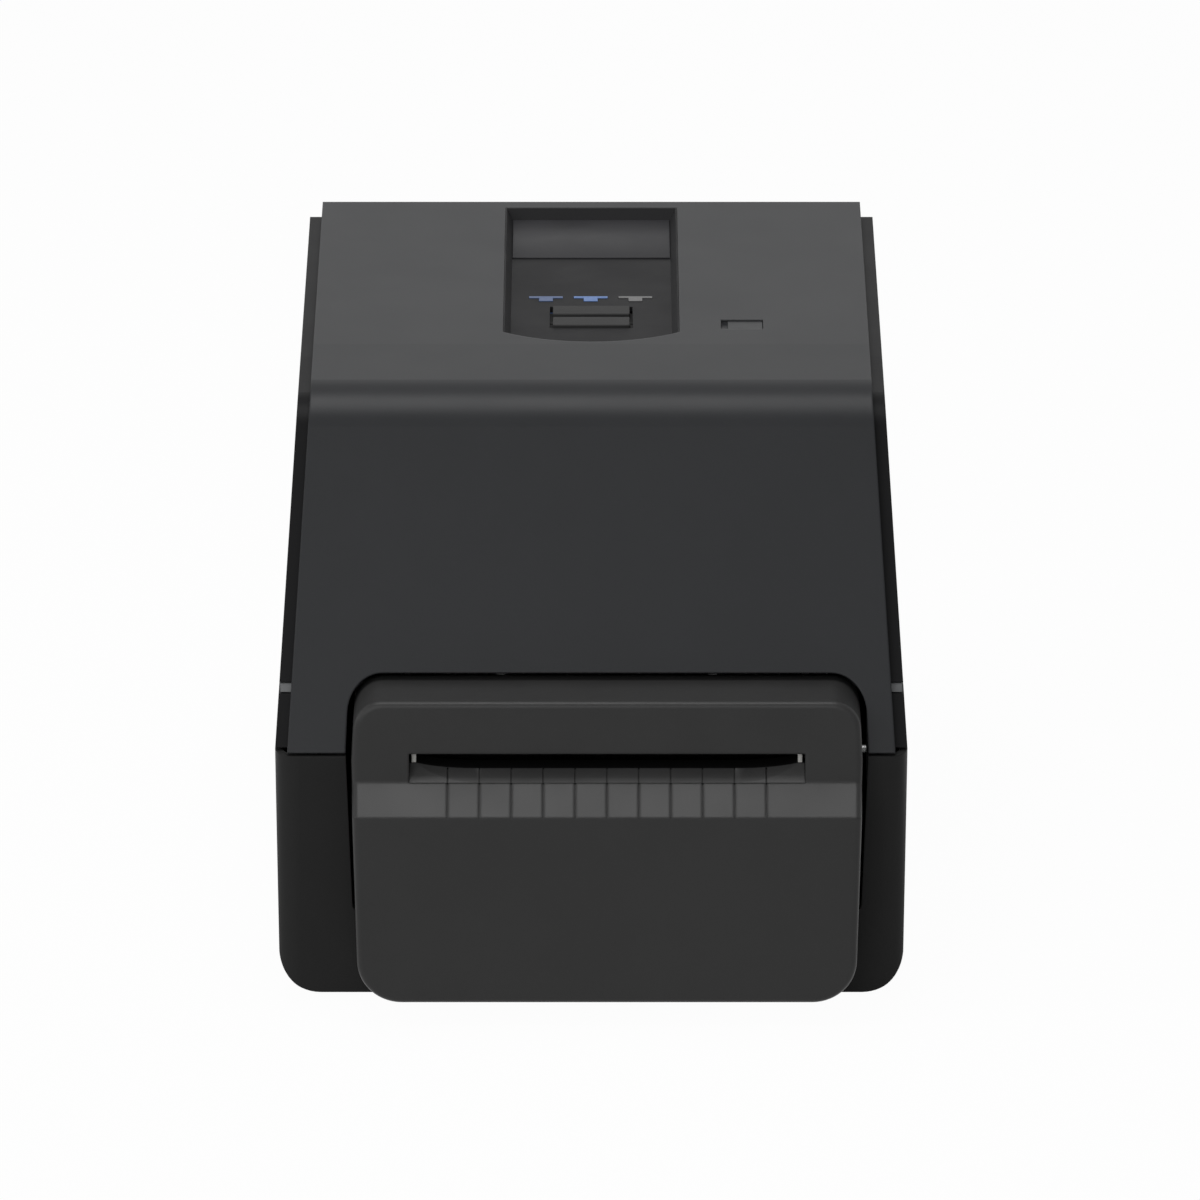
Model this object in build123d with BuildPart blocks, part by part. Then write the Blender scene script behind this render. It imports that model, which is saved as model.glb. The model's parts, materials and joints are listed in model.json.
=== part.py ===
"""Desktop thermal transfer label printer with a hinged top cover and a front cutter module.

Millimetres, +Z up, +Y towards the back. The origin is at the middle of the base of the whole
machine, on the surface that it stands on.
"""

import math
import os

from build123d import *

os.makedirs("parts", exist_ok=True)

# Body, measured at the parting line between the lower case and the cover
body_width = 206.0
body_depth = 265.0
foot_height = 3.0
case_height = 82.3
cover_height = 103.4
wall = 2.5
parting_gap = 1.0
case_draft = 1.0
case_side_radius = 13.6
case_corner_radius = 8.0
module_proud = 22.0

# Faces of the body, which the other places are given from
side_x = body_width / 2
rear_y = (body_depth + module_proud) / 2
front_y = rear_y - body_depth
module_front_y = front_y - module_proud
floor_z = foot_height
deck_z = floor_z + wall
parting_z = foot_height + case_height
cover_foot_z = parting_z + parting_gap
top_z = parting_z + cover_height

# Cover shape: a bent top and front panel stands proud of two side cheeks
front_lean = 33.0
side_lean = 3.9
top_front_radius = 22.0
top_rear_radius = 1.5
crease_from_front = 112.8
front_strip_drop = 0.8
cheek_strip = 4.0
cheek_step = 4.4
cheek_lap = 4.0

# Label path, off centre to the right as the cutter module is
media_x = 5.1

# Cutter module at the front
module_half_width = side_x - 20.0
module_top_half_width = module_half_width - 1.0
module_foot_half_width = module_half_width - 2.0
module_widest_z = parting_z + 1.7
module_foot_z = 7.6
module_top_z = parting_z + 21.0
module_back_depth = 20.0
module_top_radius = 9.5
module_foot_radius = 14.5
module_edge_radius = 2.0
module_gap = 2.0
module_gap_above = 2.4
cutout_foot_z = parting_z - 54.3
ledge_front_z = parting_z - 12.8
ledge_run = 11.3
ledge_rise = 7.9
upper_face_lean = 10.1
groove_count = 11
groove_pitch = 10.35
groove_width = 0.5
groove_depth = 0.4

# Label exit slot in the cutter module
slot_half_width = module_half_width - 18.7
slot_top_z = parting_z + 4.4
slot_lip_z = parting_z - 2.7
slot_lip_bow = 1.9
slot_lip_back = 7.7

# Control panel in the top
panel_half_width = 29.2
panel_rear_y = rear_y - 8.0
panel_side_end_y = front_y + 125.2
panel_nose_y = front_y + 115.4
panel_depth = 4.0
panel_wall_slope = 27.0
panel_floor = 2.0
plate_front_y = rear_y - 51.1
button_length = 25.6
button_width = 8.6
button_pitch = 11.6
button_mid_y = front_y + 152.0
button_travel = 0.8
lens_width = 11.3
lens_y = front_y + 172.0

# Fits
slip = 0.05
snug = 0.1
clear = 0.3
flange_lap = 1.0

# Sheet metal frame, platen and gear train
frame_half_span = module_half_width - 16.0
roller_gap = 8.0
frame_sheet = 1.5
frame_front_y = front_y + 16.5
frame_rear_y = rear_y - 71.5
frame_top_z = parting_z - 1.5
platen_y = front_y + 37.5
platen_z = parting_z - 7.8
platen_radius = 8.0
platen_shaft_radius = 3.0
gear_module = 1.0
gear_width = 6.0
platen_teeth = 24
idler_teeth = 36
pinion_teeth = 12

# Media roll holders
roll_y = rear_y - 98.5
roll_z = parting_z - 5.3
holder_half_span = frame_half_span - 10.0
holder_travel = holder_half_span - 13.0
holder_sheet = 4.0
holder_pinion_teeth = 16
guide_rod_radius = 3.0

# Cover hinge
hinge_inset = 4.5
hinge_above_parting = 5.2
hinge_pin_radius = 2.0
hinge_ear_radius = 3.6
hinge_ear_x = side_x - 23.0
hinge_ear_width = 4.0
hinge_arm_width = 7.7

# Places worked out from the sizes above
front_slope = math.tan(math.radians(front_lean))
side_slope = math.tan(math.radians(side_lean))
hinge_y = rear_y - hinge_inset
hinge_z = parting_z + hinge_above_parting
frame_left_x = media_x - frame_half_span
frame_right_x = media_x + frame_half_span
panel_floor_z = top_z - panel_depth
panel_under_z = panel_floor_z - panel_floor
far = 400.0


def write(piece, name):
    """Label a finished piece and write its STEP file."""
    piece.part.label = name
    export_step(piece.part, f"parts/{name}.step")


def block(x, y, z, mode=Mode.ADD):
    """Add or cut a box given by its low and high value on each axis."""
    with Locations(((x[0] + x[1]) / 2, (y[0] + y[1]) / 2, (z[0] + z[1]) / 2)):
        Box(x[1] - x[0], y[1] - y[0], z[1] - z[0], mode=mode)


def rod_x(x, y, z, radius, mode=Mode.ADD):
    """Add or cut a round bar along X from x[0] to x[1]."""
    with BuildSketch(Plane.YZ.offset(x[0])) as section:
        with Locations((y, z)):
            Circle(radius)
    extrude(section.sketch, amount=x[1] - x[0], mode=mode)


def rod_z(x, y, z, radius, mode=Mode.ADD):
    """Add or cut a round bar along Z from z[0] to z[1]."""
    with BuildSketch(Plane.XY.offset(z[0])) as section:
        with Locations((x, y)):
            Circle(radius)
    extrude(section.sketch, amount=z[1] - z[0], mode=mode)


def plate_x(x, points, mode=Mode.ADD):
    """Add or cut a plate square to X from x[0] to x[1], with its outline as (y, z) points."""
    with BuildSketch(Plane.YZ.offset(x[0])) as section:
        with BuildLine():
            Polyline(*points, close=True)
        make_face()
    extrude(section.sketch, amount=x[1] - x[0], mode=mode)


def cover_half_width(z):
    """Outer half width of the cover's cheeks at a height."""
    return side_x - (z - parting_z) * side_slope


def gear(plane, centre, width, teeth, phase, bore, module=gear_module):
    """Add a spur gear that stands on a plane, with a tooth at the phase angle in degrees."""
    root = module * (teeth / 2 - 1.15)
    tip = module * (teeth / 2 + 0.9)
    sunk = root - 0.4 * module
    flank = [(sunk, -0.92 * module), (tip, -0.34 * module), (tip, 0.34 * module), (sunk, 0.92 * module)]
    with BuildSketch(plane) as section:
        with Locations(centre):
            Circle(root)
            with PolarLocations(0, teeth, start_angle=phase):
                Polygon(*flank, align=(Align.NONE, Align.NONE))
            Circle(bore, mode=Mode.SUBTRACT)
    extrude(section.sketch, amount=width)


def gear_on_x(x, y, z, teeth, phase, bore, module=gear_module):
    """Add a spur gear on an X axis, from x[0] to x[1]."""
    gear(Plane.YZ.offset(x[0]), (y, z), x[1] - x[0], teeth, phase, bore, module)


def rack_teeth(plane, places, width, facing, module=gear_module):
    """Add rack teeth on a plane at (along, pitch line) places, pointing along the second axis."""
    sunk = -1.25 * module * facing
    tip = 0.9 * module * facing
    flank = [(-0.98 * module, sunk), (0.98 * module, sunk), (0.34 * module, tip), (-0.34 * module, tip)]
    with BuildSketch(plane) as section:
        with Locations(*places):
            Polygon(*flank, align=(Align.NONE, Align.NONE))
    extrude(section.sketch, amount=width)


# Shared cover shapes: the side outline of the cover and the leaning sides that trim it
skirt = 20.0
cover_side_points = [
    (front_y - skirt * front_slope, parting_z - skirt),
    (front_y + (cover_height - front_strip_drop) * front_slope, top_z - front_strip_drop),
    (front_y + crease_from_front, top_z),
    (rear_y, top_z),
    (rear_y, parting_z - skirt),
]


def cover_bar(inset, mode=Mode.ADD):
    """Add or cut the cover's whole side outline, moved inwards, as a bar across the printer."""
    with BuildSketch(Plane.YZ) as outline:
        with BuildLine():
            Polyline(*cover_side_points, close=True)
        make_face()
        fillet(outline.vertices().group_by(Axis.Y)[1], top_front_radius)
        fillet(outline.vertices().group_by(Axis.Y)[-1].sort_by(Axis.X)[-1], top_rear_radius)
        if inset > 0:
            offset(amount=-inset, kind=Kind.INTERSECTION, mode=Mode.REPLACE)
    extrude(outline.sketch, amount=body_width, both=True, mode=mode)


def between_sides(margin, mode=Mode.INTERSECT):
    """Keep or cut what lies between the leaning sides, moved inwards by the margin."""
    low = parting_z - skirt
    with BuildSketch(Plane.XZ) as front_view:
        with BuildLine():
            Polyline(
                (-cover_half_width(low) + margin, low),
                (cover_half_width(low) - margin, low),
                (cover_half_width(top_z) - margin, top_z),
                (-cover_half_width(top_z) + margin, top_z),
                close=True,
            )
        make_face()
    extrude(front_view.sketch, amount=body_depth, both=True, mode=mode)


def module_front(margin, foot, top, y=0.0, foot_radius=module_foot_radius):
    """Front view of the cutter module on a plane square to Y, grown by the margin."""
    with BuildSketch(Plane.XZ.offset(-y)) as front_view:
        with BuildLine():
            Polyline(
                (media_x - module_foot_half_width - margin, foot),
                (media_x + module_foot_half_width + margin, foot),
                (media_x + module_half_width + margin, module_widest_z),
                (media_x + module_top_half_width + margin, top),
                (media_x - module_top_half_width - margin, top),
                (media_x - module_half_width - margin, module_widest_z),
                close=True,
            )
        make_face()
        fillet(front_view.vertices().group_by(Axis.Y)[-1], module_top_radius + margin)
        fillet(front_view.vertices().group_by(Axis.Y)[0], foot_radius + margin)
    return front_view.sketch


def panel_plan(margin, z):
    """Plan of the control panel at a height: square at the back, bowed at the front."""
    half = panel_half_width - margin
    with BuildSketch(Plane.XY.offset(z)) as plan:
        with BuildLine():
            Polyline(
                (-half, panel_side_end_y),
                (-half, panel_rear_y - margin),
                (half, panel_rear_y - margin),
                (half, panel_side_end_y),
            )
            ThreePointArc(
                (half, panel_side_end_y), (0, panel_nose_y + margin), (-half, panel_side_end_y)
            )
        make_face()
    return plan.sketch


# Bent top and front cover panel
with BuildPart() as cover_core:
    cover_bar(wall)
    between_sides(cheek_strip + wall)

badge_x = 50.1
badge_y = front_y + 133.0
badge_length = 14.0
badge_breadth = 9.3
badge_depth = 1.2
notch_height = 5.5

with BuildPart() as cover_panel:
    cover_bar(0)
    cover_bar(cheek_step, mode=Mode.SUBTRACT)
    between_sides(cheek_strip)
    add(cover_core.part, mode=Mode.SUBTRACT)
    block((-far, far), (-far, far), (0, cover_foot_z), mode=Mode.SUBTRACT)
    block((-far, far), (hinge_y - hinge_ear_radius, far), (0, hinge_z), mode=Mode.SUBTRACT)
    for side in (-1, 1):
        notch_inner = side * (hinge_ear_x - hinge_ear_width / 2 - 2 * clear - hinge_arm_width)
        notch_outer = side * (hinge_ear_x + hinge_ear_width / 2 + clear)
        block(
            sorted((notch_inner, notch_outer)),
            (hinge_y - hinge_ear_radius, far),
            (0, hinge_z + notch_height),
            mode=Mode.SUBTRACT,
        )
    extrude(
        module_front(module_gap, floor_z, module_top_z + module_gap_above),
        amount=body_depth,
        mode=Mode.SUBTRACT,
    )
    extrude(panel_plan(-snug, top_z + 1), amount=-4 * wall, mode=Mode.SUBTRACT)
    block(
        (badge_x - badge_length / 2, badge_x + badge_length / 2),
        (badge_y - badge_breadth / 2, badge_y + badge_breadth / 2),
        (top_z - badge_depth, top_z + badge_depth),
        mode=Mode.SUBTRACT,
    )
write(cover_panel, "cover_panel")

# Bare badge plate set in its recess, short at the left end
badge_gap = 2.2
with BuildPart() as badge_inset:
    block(
        (badge_x - badge_length / 2 + badge_gap, badge_x + badge_length / 2 - snug),
        (badge_y - badge_breadth / 2 + snug, badge_y + badge_breadth / 2 - snug),
        (top_z - badge_depth, top_z - badge_depth / 3),
    )
    fillet(edges().group_by(Axis.Z)[-1], 0.3)
write(badge_inset, "badge_inset")

# Cover release buttons lie in a groove along each cheek, near its lower front edge
release_z = parting_z + 17.7
release_height = 2.6
release_outer_inset = 0.4
release_depth = 5.6
release_rear_y = front_y + 59.5
release_travel = 2.0
pad_front_y = front_y + 25.5
pad_height = 9.0

with BuildPart() as cheek_core:
    cover_bar(cheek_step + wall)
    between_sides(wall)


def release_groove(side, grow, mode):
    """Add or cut a release button's room in a cheek: a slim bar with a taller thumb pad."""
    outer = cover_half_width(release_z)
    inner = outer - release_outer_inset - release_depth
    inner_x = inner - (release_travel + clear if grow else 0)
    outer_x = outer + far if grow else outer - release_outer_inset
    x = sorted((side * inner_x, side * outer_x))
    half = release_height / 2 + grow
    block(x, (front_y - 10, release_rear_y + grow), (release_z - half, release_z + half), mode=mode)
    half = pad_height / 2 + grow
    pad_z = release_z + release_height / 2 - pad_height / 2
    block(x, (pad_front_y - grow, release_rear_y + grow), (pad_z - half, pad_z + half), mode=mode)


for side, side_name in ((-1, "left"), (1, "right")):
    with BuildPart() as cheek:
        cover_bar(cheek_step)
        between_sides(0)
        add(cheek_core.part, mode=Mode.SUBTRACT)
        block((-far, far), (-far, far), (0, cover_foot_z), mode=Mode.SUBTRACT)
        inner_edge = side_x - cheek_strip - cheek_lap - (top_z - parting_z) * side_slope
        block(sorted((-side * far, side * inner_edge)), (-far, far), (0, far), mode=Mode.SUBTRACT)
        extrude(
            module_front(module_gap, floor_z, module_top_z + module_gap_above),
            amount=body_depth,
            mode=Mode.SUBTRACT,
        )
        release_groove(side, clear, Mode.SUBTRACT)
    write(cheek, f"cover_cheek_{side_name}")

    with BuildPart() as release_room:
        release_groove(side, 0, Mode.ADD)
    with BuildPart() as release_button:
        cover_bar(cheek_step + clear)
        add(release_room.part, mode=Mode.INTERSECT)
    write(release_button, f"release_button_{side_name}")


# Control panel tray: sloping walls, a lens slot for each indicator and one button window
lens_xs = (-15.2, -0.2, 14.8)
lens_bar_width = 1.6
lens_tab_length = 4.6
lens_tab_width = 3.2
tray_rim = 0.4
tray_flange = 2.0
tray_flange_thickness = 1.2
window_margin = 1.0
board_drop = 4.1
board_sheet = 1.6
board_half_width = 27.0
board_front_y = front_y + 129.5
board_rear_y = front_y + 189.5
post_radius = 2.5
switch_height = 1.7
led_height = 0.8
board_top_z = panel_under_z - board_drop
button_ys = (button_mid_y - button_pitch / 2, button_mid_y + button_pitch / 2)
button_foot_z = board_top_z + switch_height + button_travel + clear
button_proud = 0.8
post_places = [(x, y) for x in (-board_half_width + 4, board_half_width - 4) for y in (12, 62)]


def lens_shape(grow, low, high, mode=Mode.ADD):
    """Add or cut the three indicator lenses: a thin bar with a short tab in front of it."""
    for x in lens_xs:
        half = lens_width / 2 + grow
        block((x - half, x + half), (lens_y - grow, lens_y + lens_bar_width + grow), (low, high), mode)
        half = lens_tab_length / 2 + grow
        block((x - half, x + half), (lens_y - lens_tab_width - grow, lens_y), (low, high), mode)


with BuildPart() as panel_tray:
    extrude(panel_plan(0, top_z), amount=-panel_depth - panel_floor)
    flange_top_z = top_z - wall
    extrude(panel_plan(-tray_flange, flange_top_z), amount=-tray_flange_thickness)
    extrude(
        panel_plan(tray_rim, top_z), amount=-panel_depth, taper=panel_wall_slope, mode=Mode.SUBTRACT
    )
    lens_shape(snug, panel_under_z, panel_floor_z, Mode.SUBTRACT)
    half_length = button_length / 2 + window_margin
    half_width = (button_pitch + button_width) / 2 + window_margin
    block(
        (-half_length, half_length),
        (button_mid_y - half_width, button_mid_y + half_width),
        (panel_under_z, panel_floor_z),
        Mode.SUBTRACT,
    )
    for x, y in post_places:
        rod_z(x, y, (board_top_z, panel_under_z), post_radius)
write(panel_tray, "panel_tray")

plate_sheet = 0.5
plate_half_width = panel_half_width - tray_rim - panel_depth * math.tan(math.radians(panel_wall_slope)) - snug
plate_rear_y = panel_rear_y - panel_half_width + plate_half_width
with BuildPart() as name_plate:
    block(
        (-plate_half_width, plate_half_width),
        (plate_front_y, plate_rear_y),
        (panel_floor_z, panel_floor_z + plate_sheet),
    )
write(name_plate, "name_plate")

with BuildPart() as indicator_lenses:
    lens_shape(0, board_top_z + led_height + clear, panel_floor_z + 0.2)
write(indicator_lenses, "indicator_lenses")

for y, button_name in zip(button_ys, ("feed_button", "pause_button")):
    with BuildPart() as panel_button:
        block(
            (-button_length / 2, button_length / 2),
            (y - button_width / 2, y + button_width / 2),
            (button_foot_z, panel_floor_z + button_proud),
        )
        fillet(panel_button.edges().group_by(Axis.Z)[-1], 0.4)
        half = button_length / 2 + window_margin + flange_lap
        block(
            (-half, half),
            (y - button_width / 2 - flange_lap, y + button_width / 2 + flange_lap),
            (button_foot_z, button_foot_z + flange_lap),
        )
    write(panel_button, button_name)

with BuildPart() as panel_board:
    block(
        (-board_half_width, board_half_width),
        (board_front_y, board_rear_y),
        (board_top_z - board_sheet, board_top_z),
    )
    for y in button_ys:
        for x in (-8, 8):
            block((x - 3, x + 3), (y - 3, y + 3), (board_top_z, board_top_z + switch_height))
    for x in lens_xs:
        block((x - 1.5, x + 1.5), (lens_y - 2, lens_y), (board_top_z, board_top_z + led_height))
write(panel_board, "panel_board")

# Hinge arms of the cover, each with a barrel on the hinge pin
arm_top_z = parting_z + 39.7
arm_barrel_radius = hinge_ear_radius - snug
wall_inner_y = rear_y - wall
hinge_ear_inner = hinge_ear_x - hinge_ear_width / 2
arm_places = (hinge_ear_inner - clear - hinge_arm_width, hinge_ear_inner - clear)
with BuildPart() as hinge_arms:
    for side in (-1, 1):
        x = sorted((side * arm_places[0], side * arm_places[1]))
        rod_x(x, hinge_y, hinge_z, arm_barrel_radius)
        block(x, (wall_inner_y - 2 * arm_barrel_radius + wall, wall_inner_y), (hinge_z, arm_top_z))
        rod_x(x, hinge_y, hinge_z, hinge_pin_radius + slip, Mode.SUBTRACT)
write(hinge_arms, "hinge_arms")


# Ribbon mechanism carried by the cover, between two sheet metal plates
ribbon_half_span = frame_half_span - 3.0
ribbon_sheet = 2.0
supply_y = front_y + 99.5
supply_z = top_z - 36.7
takeup_y = front_y + 55.5
takeup_z = parting_z + 41.7
stub_radius = 3.0
core_radius = 12.7
core_half_length = ribbon_half_span - 7.0
core_flange_radius = 16.0
core_flange = 2.0
rib_height = 0.8
ribbon_module = 0.8
takeup_teeth = 48
ribbon_pinion_teeth = 14
ribbon_gear_width = 5.0
ribbon_gear_gap = 1.0
ribbon_mesh_angle = -36.0
head_pivot_y = front_y + 63.5
head_pivot_z = parting_z + 11.7
head_pivot_radius = 2.0
latch_y = front_y + 26.5
latch_z = parting_z + 15.7
latch_radius = 2.5
spring_bar_z = parting_z + 18.7
spring_bar_height = 2.0
spring_bar_ys = (front_y + 35.5, front_y + 47.5)
bridge_z = top_z - 12.7
bridge_sheet = 2.0
bridge_ys = (front_y + 85.5, front_y + 127.5)
bridge_half_width = ribbon_half_span + 11.0
bridge_post_radius = 4.0
bridge_post_inset = 8.0
plate_left = (media_x - ribbon_half_span - ribbon_sheet, media_x - ribbon_half_span)
plate_right = (media_x + ribbon_half_span, media_x + ribbon_half_span + ribbon_sheet)
ribbon_mesh = ribbon_module * (takeup_teeth + ribbon_pinion_teeth) / 2
ribbon_motor_y = takeup_y + ribbon_mesh * math.cos(math.radians(ribbon_mesh_angle))
ribbon_motor_z = takeup_z + ribbon_mesh * math.sin(math.radians(ribbon_mesh_angle))
ribbon_outline = [
    (latch_y - 4.5, latch_z - 3.5),
    (latch_y - 4.5, latch_z + 3.5),
    (latch_y + 5.0, latch_z + 11.0),
    (takeup_y - 20.0, takeup_z + 6.0),
    (takeup_y + 4.0, supply_z + 8.0),
    (bridge_ys[0], bridge_z),
    (bridge_ys[1], bridge_z),
    (supply_y + 30.0, supply_z - 10.0),
    (head_pivot_y + 28.0, head_pivot_z + 15.0),
    (head_pivot_y + 8.0, head_pivot_z - 6.0),
    (latch_y + 7.0, head_pivot_z - 6.0),
]

for x, ribbon_side in ((plate_left, "left"), (plate_right, "right")):
    with BuildPart() as ribbon_frame:
        plate_x(x, ribbon_outline)
        for y, z in ((supply_y, supply_z), (takeup_y, takeup_z)):
            rod_x(x, y, z, stub_radius + slip, Mode.SUBTRACT)
        rod_x(x, latch_y, latch_z, latch_radius + slip, Mode.SUBTRACT)
        rod_x(x, head_pivot_y, head_pivot_z, head_pivot_radius, Mode.SUBTRACT)
    write(ribbon_frame, f"ribbon_frame_{ribbon_side}")

with BuildPart() as ribbon_bridge:
    block((-bridge_half_width, bridge_half_width), bridge_ys, (bridge_z, bridge_z + bridge_sheet))
    for x in (-bridge_half_width + bridge_post_inset, bridge_half_width - bridge_post_inset):
        for y in (bridge_ys[0] + bridge_post_inset, bridge_ys[1] - bridge_post_inset):
            rod_z(x, y, (bridge_z, top_z), bridge_post_radius)
    cover_bar(wall, Mode.INTERSECT)
write(ribbon_bridge, "ribbon_bridge")


def spindle(y, z):
    """Add a ribbon core holder: ribbed core, drive flange and a stub shaft through each plate."""
    core = (media_x - core_half_length, media_x + core_half_length)
    rod_x(core, y, z, core_radius - rib_height)
    for turn in range(4):
        angle = math.radians(90 * turn + 45)
        rib_y = y + (core_radius - 2 * rib_height) * math.cos(angle)
        rib_z = z + (core_radius - 2 * rib_height) * math.sin(angle)
        rod_x(core, rib_y, rib_z, 2 * rib_height)
    rod_x((core[0] - core_flange, core[0]), y, z, core_flange_radius)
    gear_end = plate_left[0] - ribbon_gear_gap - ribbon_gear_width
    rod_x((gear_end - ribbon_gear_gap, plate_right[1] + ribbon_gear_gap), y, z, stub_radius)


with BuildPart() as supply_spindle:
    spindle(supply_y, supply_z)

with BuildPart() as takeup_spindle:
    spindle(takeup_y, takeup_z)

ribbon_gear_x = (plate_left[0] - ribbon_gear_gap - ribbon_gear_width, plate_left[0] - ribbon_gear_gap)
with BuildPart() as takeup_set:
    gear_on_x(
        ribbon_gear_x, takeup_y, takeup_z, takeup_teeth, ribbon_mesh_angle, stub_radius, ribbon_module
    )
    add(takeup_spindle)
write(takeup_set, "ribbon_takeup_spindle")

# Friction disc that brakes the supply spindle lightly
with BuildPart() as supply_set:
    rod_x(ribbon_gear_x, supply_y, supply_z, core_radius)
    rod_x(ribbon_gear_x, supply_y, supply_z, stub_radius, Mode.SUBTRACT)
    add(supply_spindle)
write(supply_set, "ribbon_supply_spindle")

# Ribbon motor stands off the left plate on its bracket
ribbon_motor_radius = 9.5
ribbon_motor_length = 20.0
ribbon_shaft_radius = 1.5
ribbon_bore_depth = 6.0
ribbon_motor_boss = 2.0
bracket_sheet = 1.5
bracket_x = (ribbon_gear_x[0] - 2 * ribbon_gear_gap - bracket_sheet, ribbon_gear_x[0] - 2 * ribbon_gear_gap)
bracket_rear_y = ribbon_motor_y + ribbon_motor_radius + 9
bracket_post_y = bracket_rear_y - 4
with BuildPart() as motor_bracket:
    block(bracket_x, (ribbon_motor_y - 6, bracket_rear_y), (ribbon_motor_z - 9, ribbon_motor_z + 9))
    rod_x(bracket_x, ribbon_motor_y, ribbon_motor_z, ribbon_shaft_radius + clear, Mode.SUBTRACT)
    for dz in (-5, 5):
        rod_x((bracket_x[1], plate_left[0]), bracket_post_y, ribbon_motor_z + dz, 2.5)

with BuildPart() as ribbon_motor:
    motor_x = (bracket_x[0] - ribbon_motor_length, bracket_x[0])
    rod_x(motor_x, ribbon_motor_y, ribbon_motor_z, ribbon_motor_radius)
    rod_x((motor_x[0] - ribbon_motor_boss, motor_x[0]), ribbon_motor_y, ribbon_motor_z, ribbon_motor_radius / 3)
    motor_bore_x = (motor_x[1] - ribbon_bore_depth, motor_x[1])
    rod_x(motor_bore_x, ribbon_motor_y, ribbon_motor_z, ribbon_shaft_radius + slip, Mode.SUBTRACT)
    add(motor_bracket)
write(ribbon_motor, "ribbon_motor")

with BuildPart() as ribbon_pinion:
    pinion_phase = ribbon_mesh_angle + 180 + 180 / ribbon_pinion_teeth
    gear_on_x(
        ribbon_gear_x,
        ribbon_motor_y,
        ribbon_motor_z,
        ribbon_pinion_teeth,
        pinion_phase,
        ribbon_shaft_radius / 2,
        ribbon_module,
    )
    rod_x((motor_bore_x[0] + clear, ribbon_gear_x[1]), ribbon_motor_y, ribbon_motor_z, ribbon_shaft_radius)
write(ribbon_pinion, "ribbon_motor_pinion")

# Thermal print head on a pivoting bracket, pressed down by two springs under a cross bar
strip_z = (platen_z + platen_radius + clear, platen_z + platen_radius + clear + 1.6)
head_half_length = ribbon_half_span - 7.0
head_x = (media_x - head_half_length, media_x + head_half_length)
head_ys = (front_y + 30.5, front_y + 59.5)
heat_sink_top_z = parting_z + 8.7
head_bracket_sheet = 2.0
fin_count = 5
head_spring_radius = 4.0
head_spring_y = front_y + 41.5
head_spring_reach = 35.0
head_spring_xs = (media_x - head_spring_reach, media_x + head_spring_reach)
print_strip_inset = 1.0
print_strip_width = 10.0
fin_depth = 3.0
barrel_length = 12.0

with BuildPart() as print_head:
    block(head_x, head_ys, (strip_z[1], heat_sink_top_z))
    fin_pitch = (head_ys[1] - head_ys[0] - print_strip_width) / fin_count
    for index in range(fin_count):
        y = head_ys[0] + print_strip_width + 2 * print_strip_inset + index * fin_pitch
        block(head_x, (y, y + fin_pitch / 2), (strip_z[1], strip_z[1] + fin_depth), Mode.SUBTRACT)
    strip_front_y = head_ys[0] + print_strip_inset
    block(head_x, (strip_front_y, strip_front_y + print_strip_width), strip_z)
write(print_head, "print_head")


head_bracket_z = (heat_sink_top_z, heat_sink_top_z + head_bracket_sheet)
with BuildPart() as head_bracket:
    block(head_x, (head_ys[0], head_pivot_y + 3), head_bracket_z)
    for x in (head_x[0], head_x[1] - barrel_length):
        rod_x((x, x + barrel_length), head_pivot_y, head_pivot_z, head_pivot_radius + 2)
    rod_x(head_x, head_pivot_y, head_pivot_z, head_pivot_radius + slip, Mode.SUBTRACT)
write(head_bracket, "head_bracket")

with BuildPart() as head_pivot:
    rod_x((plate_left[0], plate_right[1]), head_pivot_y, head_pivot_z, head_pivot_radius)
write(head_pivot, "head_pivot_pin")

with BuildPart() as spring_bar:
    bar_z = (spring_bar_z, spring_bar_z + spring_bar_height)
    block((plate_left[1], plate_right[0]), spring_bar_ys, bar_z)
write(spring_bar, "spring_bar")

with BuildPart() as head_springs:
    for x in head_spring_xs:
        rod_z(x, head_spring_y, (head_bracket_z[1], spring_bar_z), head_spring_radius)
        rod_z(x, head_spring_y, (head_bracket_z[1], spring_bar_z), head_spring_radius - 1, Mode.SUBTRACT)
write(head_springs, "head_springs")

# Latch shaft across the cover with a hook at each end
hook_x = side_x - 11.7
hook_sheet = 2.6
catch_radius = 2.5
catch_y = front_y + 33.5
catch_z = parting_z - 9.3
hook_foot_z = parting_z - 17.3
hook_nose_top_z = catch_z - catch_radius - clear
hook_nose_y = catch_y - catch_radius - clear
hook_front_y = front_y + 23.0
hook_shank = 4.0
hook_lead = 1.0
hook_nose_height = 2.0
with BuildPart() as latch_shaft:
    rod_x((-hook_x - hook_sheet / 2, hook_x + hook_sheet / 2), latch_y, latch_z, latch_radius)

with BuildPart() as latch_hooks:
    for side in (-1, 1):
        x = (side * hook_x - hook_sheet / 2, side * hook_x + hook_sheet / 2)
        rod_x(x, latch_y, latch_z, 2 * latch_radius)
        plate_x(
            x,
            [
                (hook_front_y, latch_z),
                (hook_front_y, hook_foot_z),
                (hook_front_y + hook_shank - hook_lead, hook_foot_z),
                (hook_nose_y, hook_nose_top_z - hook_nose_height),
                (hook_nose_y, hook_nose_top_z),
                (hook_front_y + hook_shank, hook_nose_top_z),
                (hook_front_y + hook_shank, latch_z),
            ],
        )
        rod_x(x, latch_y, latch_z, latch_radius, Mode.SUBTRACT)
    add(latch_shaft.part)
write(latch_hooks, "latch_hooks")


# Lower case: open topped shell with leaning sides and rounded lower edges
screw_radius = 1.5
screw_head_radius = 2.9
screw_head_height = 1.8
foot_radius = 9.0
foot_x = side_x - 31.0
foot_from_end = 28.0
socket_z = 10.6
lip_z = parting_z + 8.7
lip_front_y = rear_y - 12.5
lip_half_width = side_x - 37.0


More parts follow.
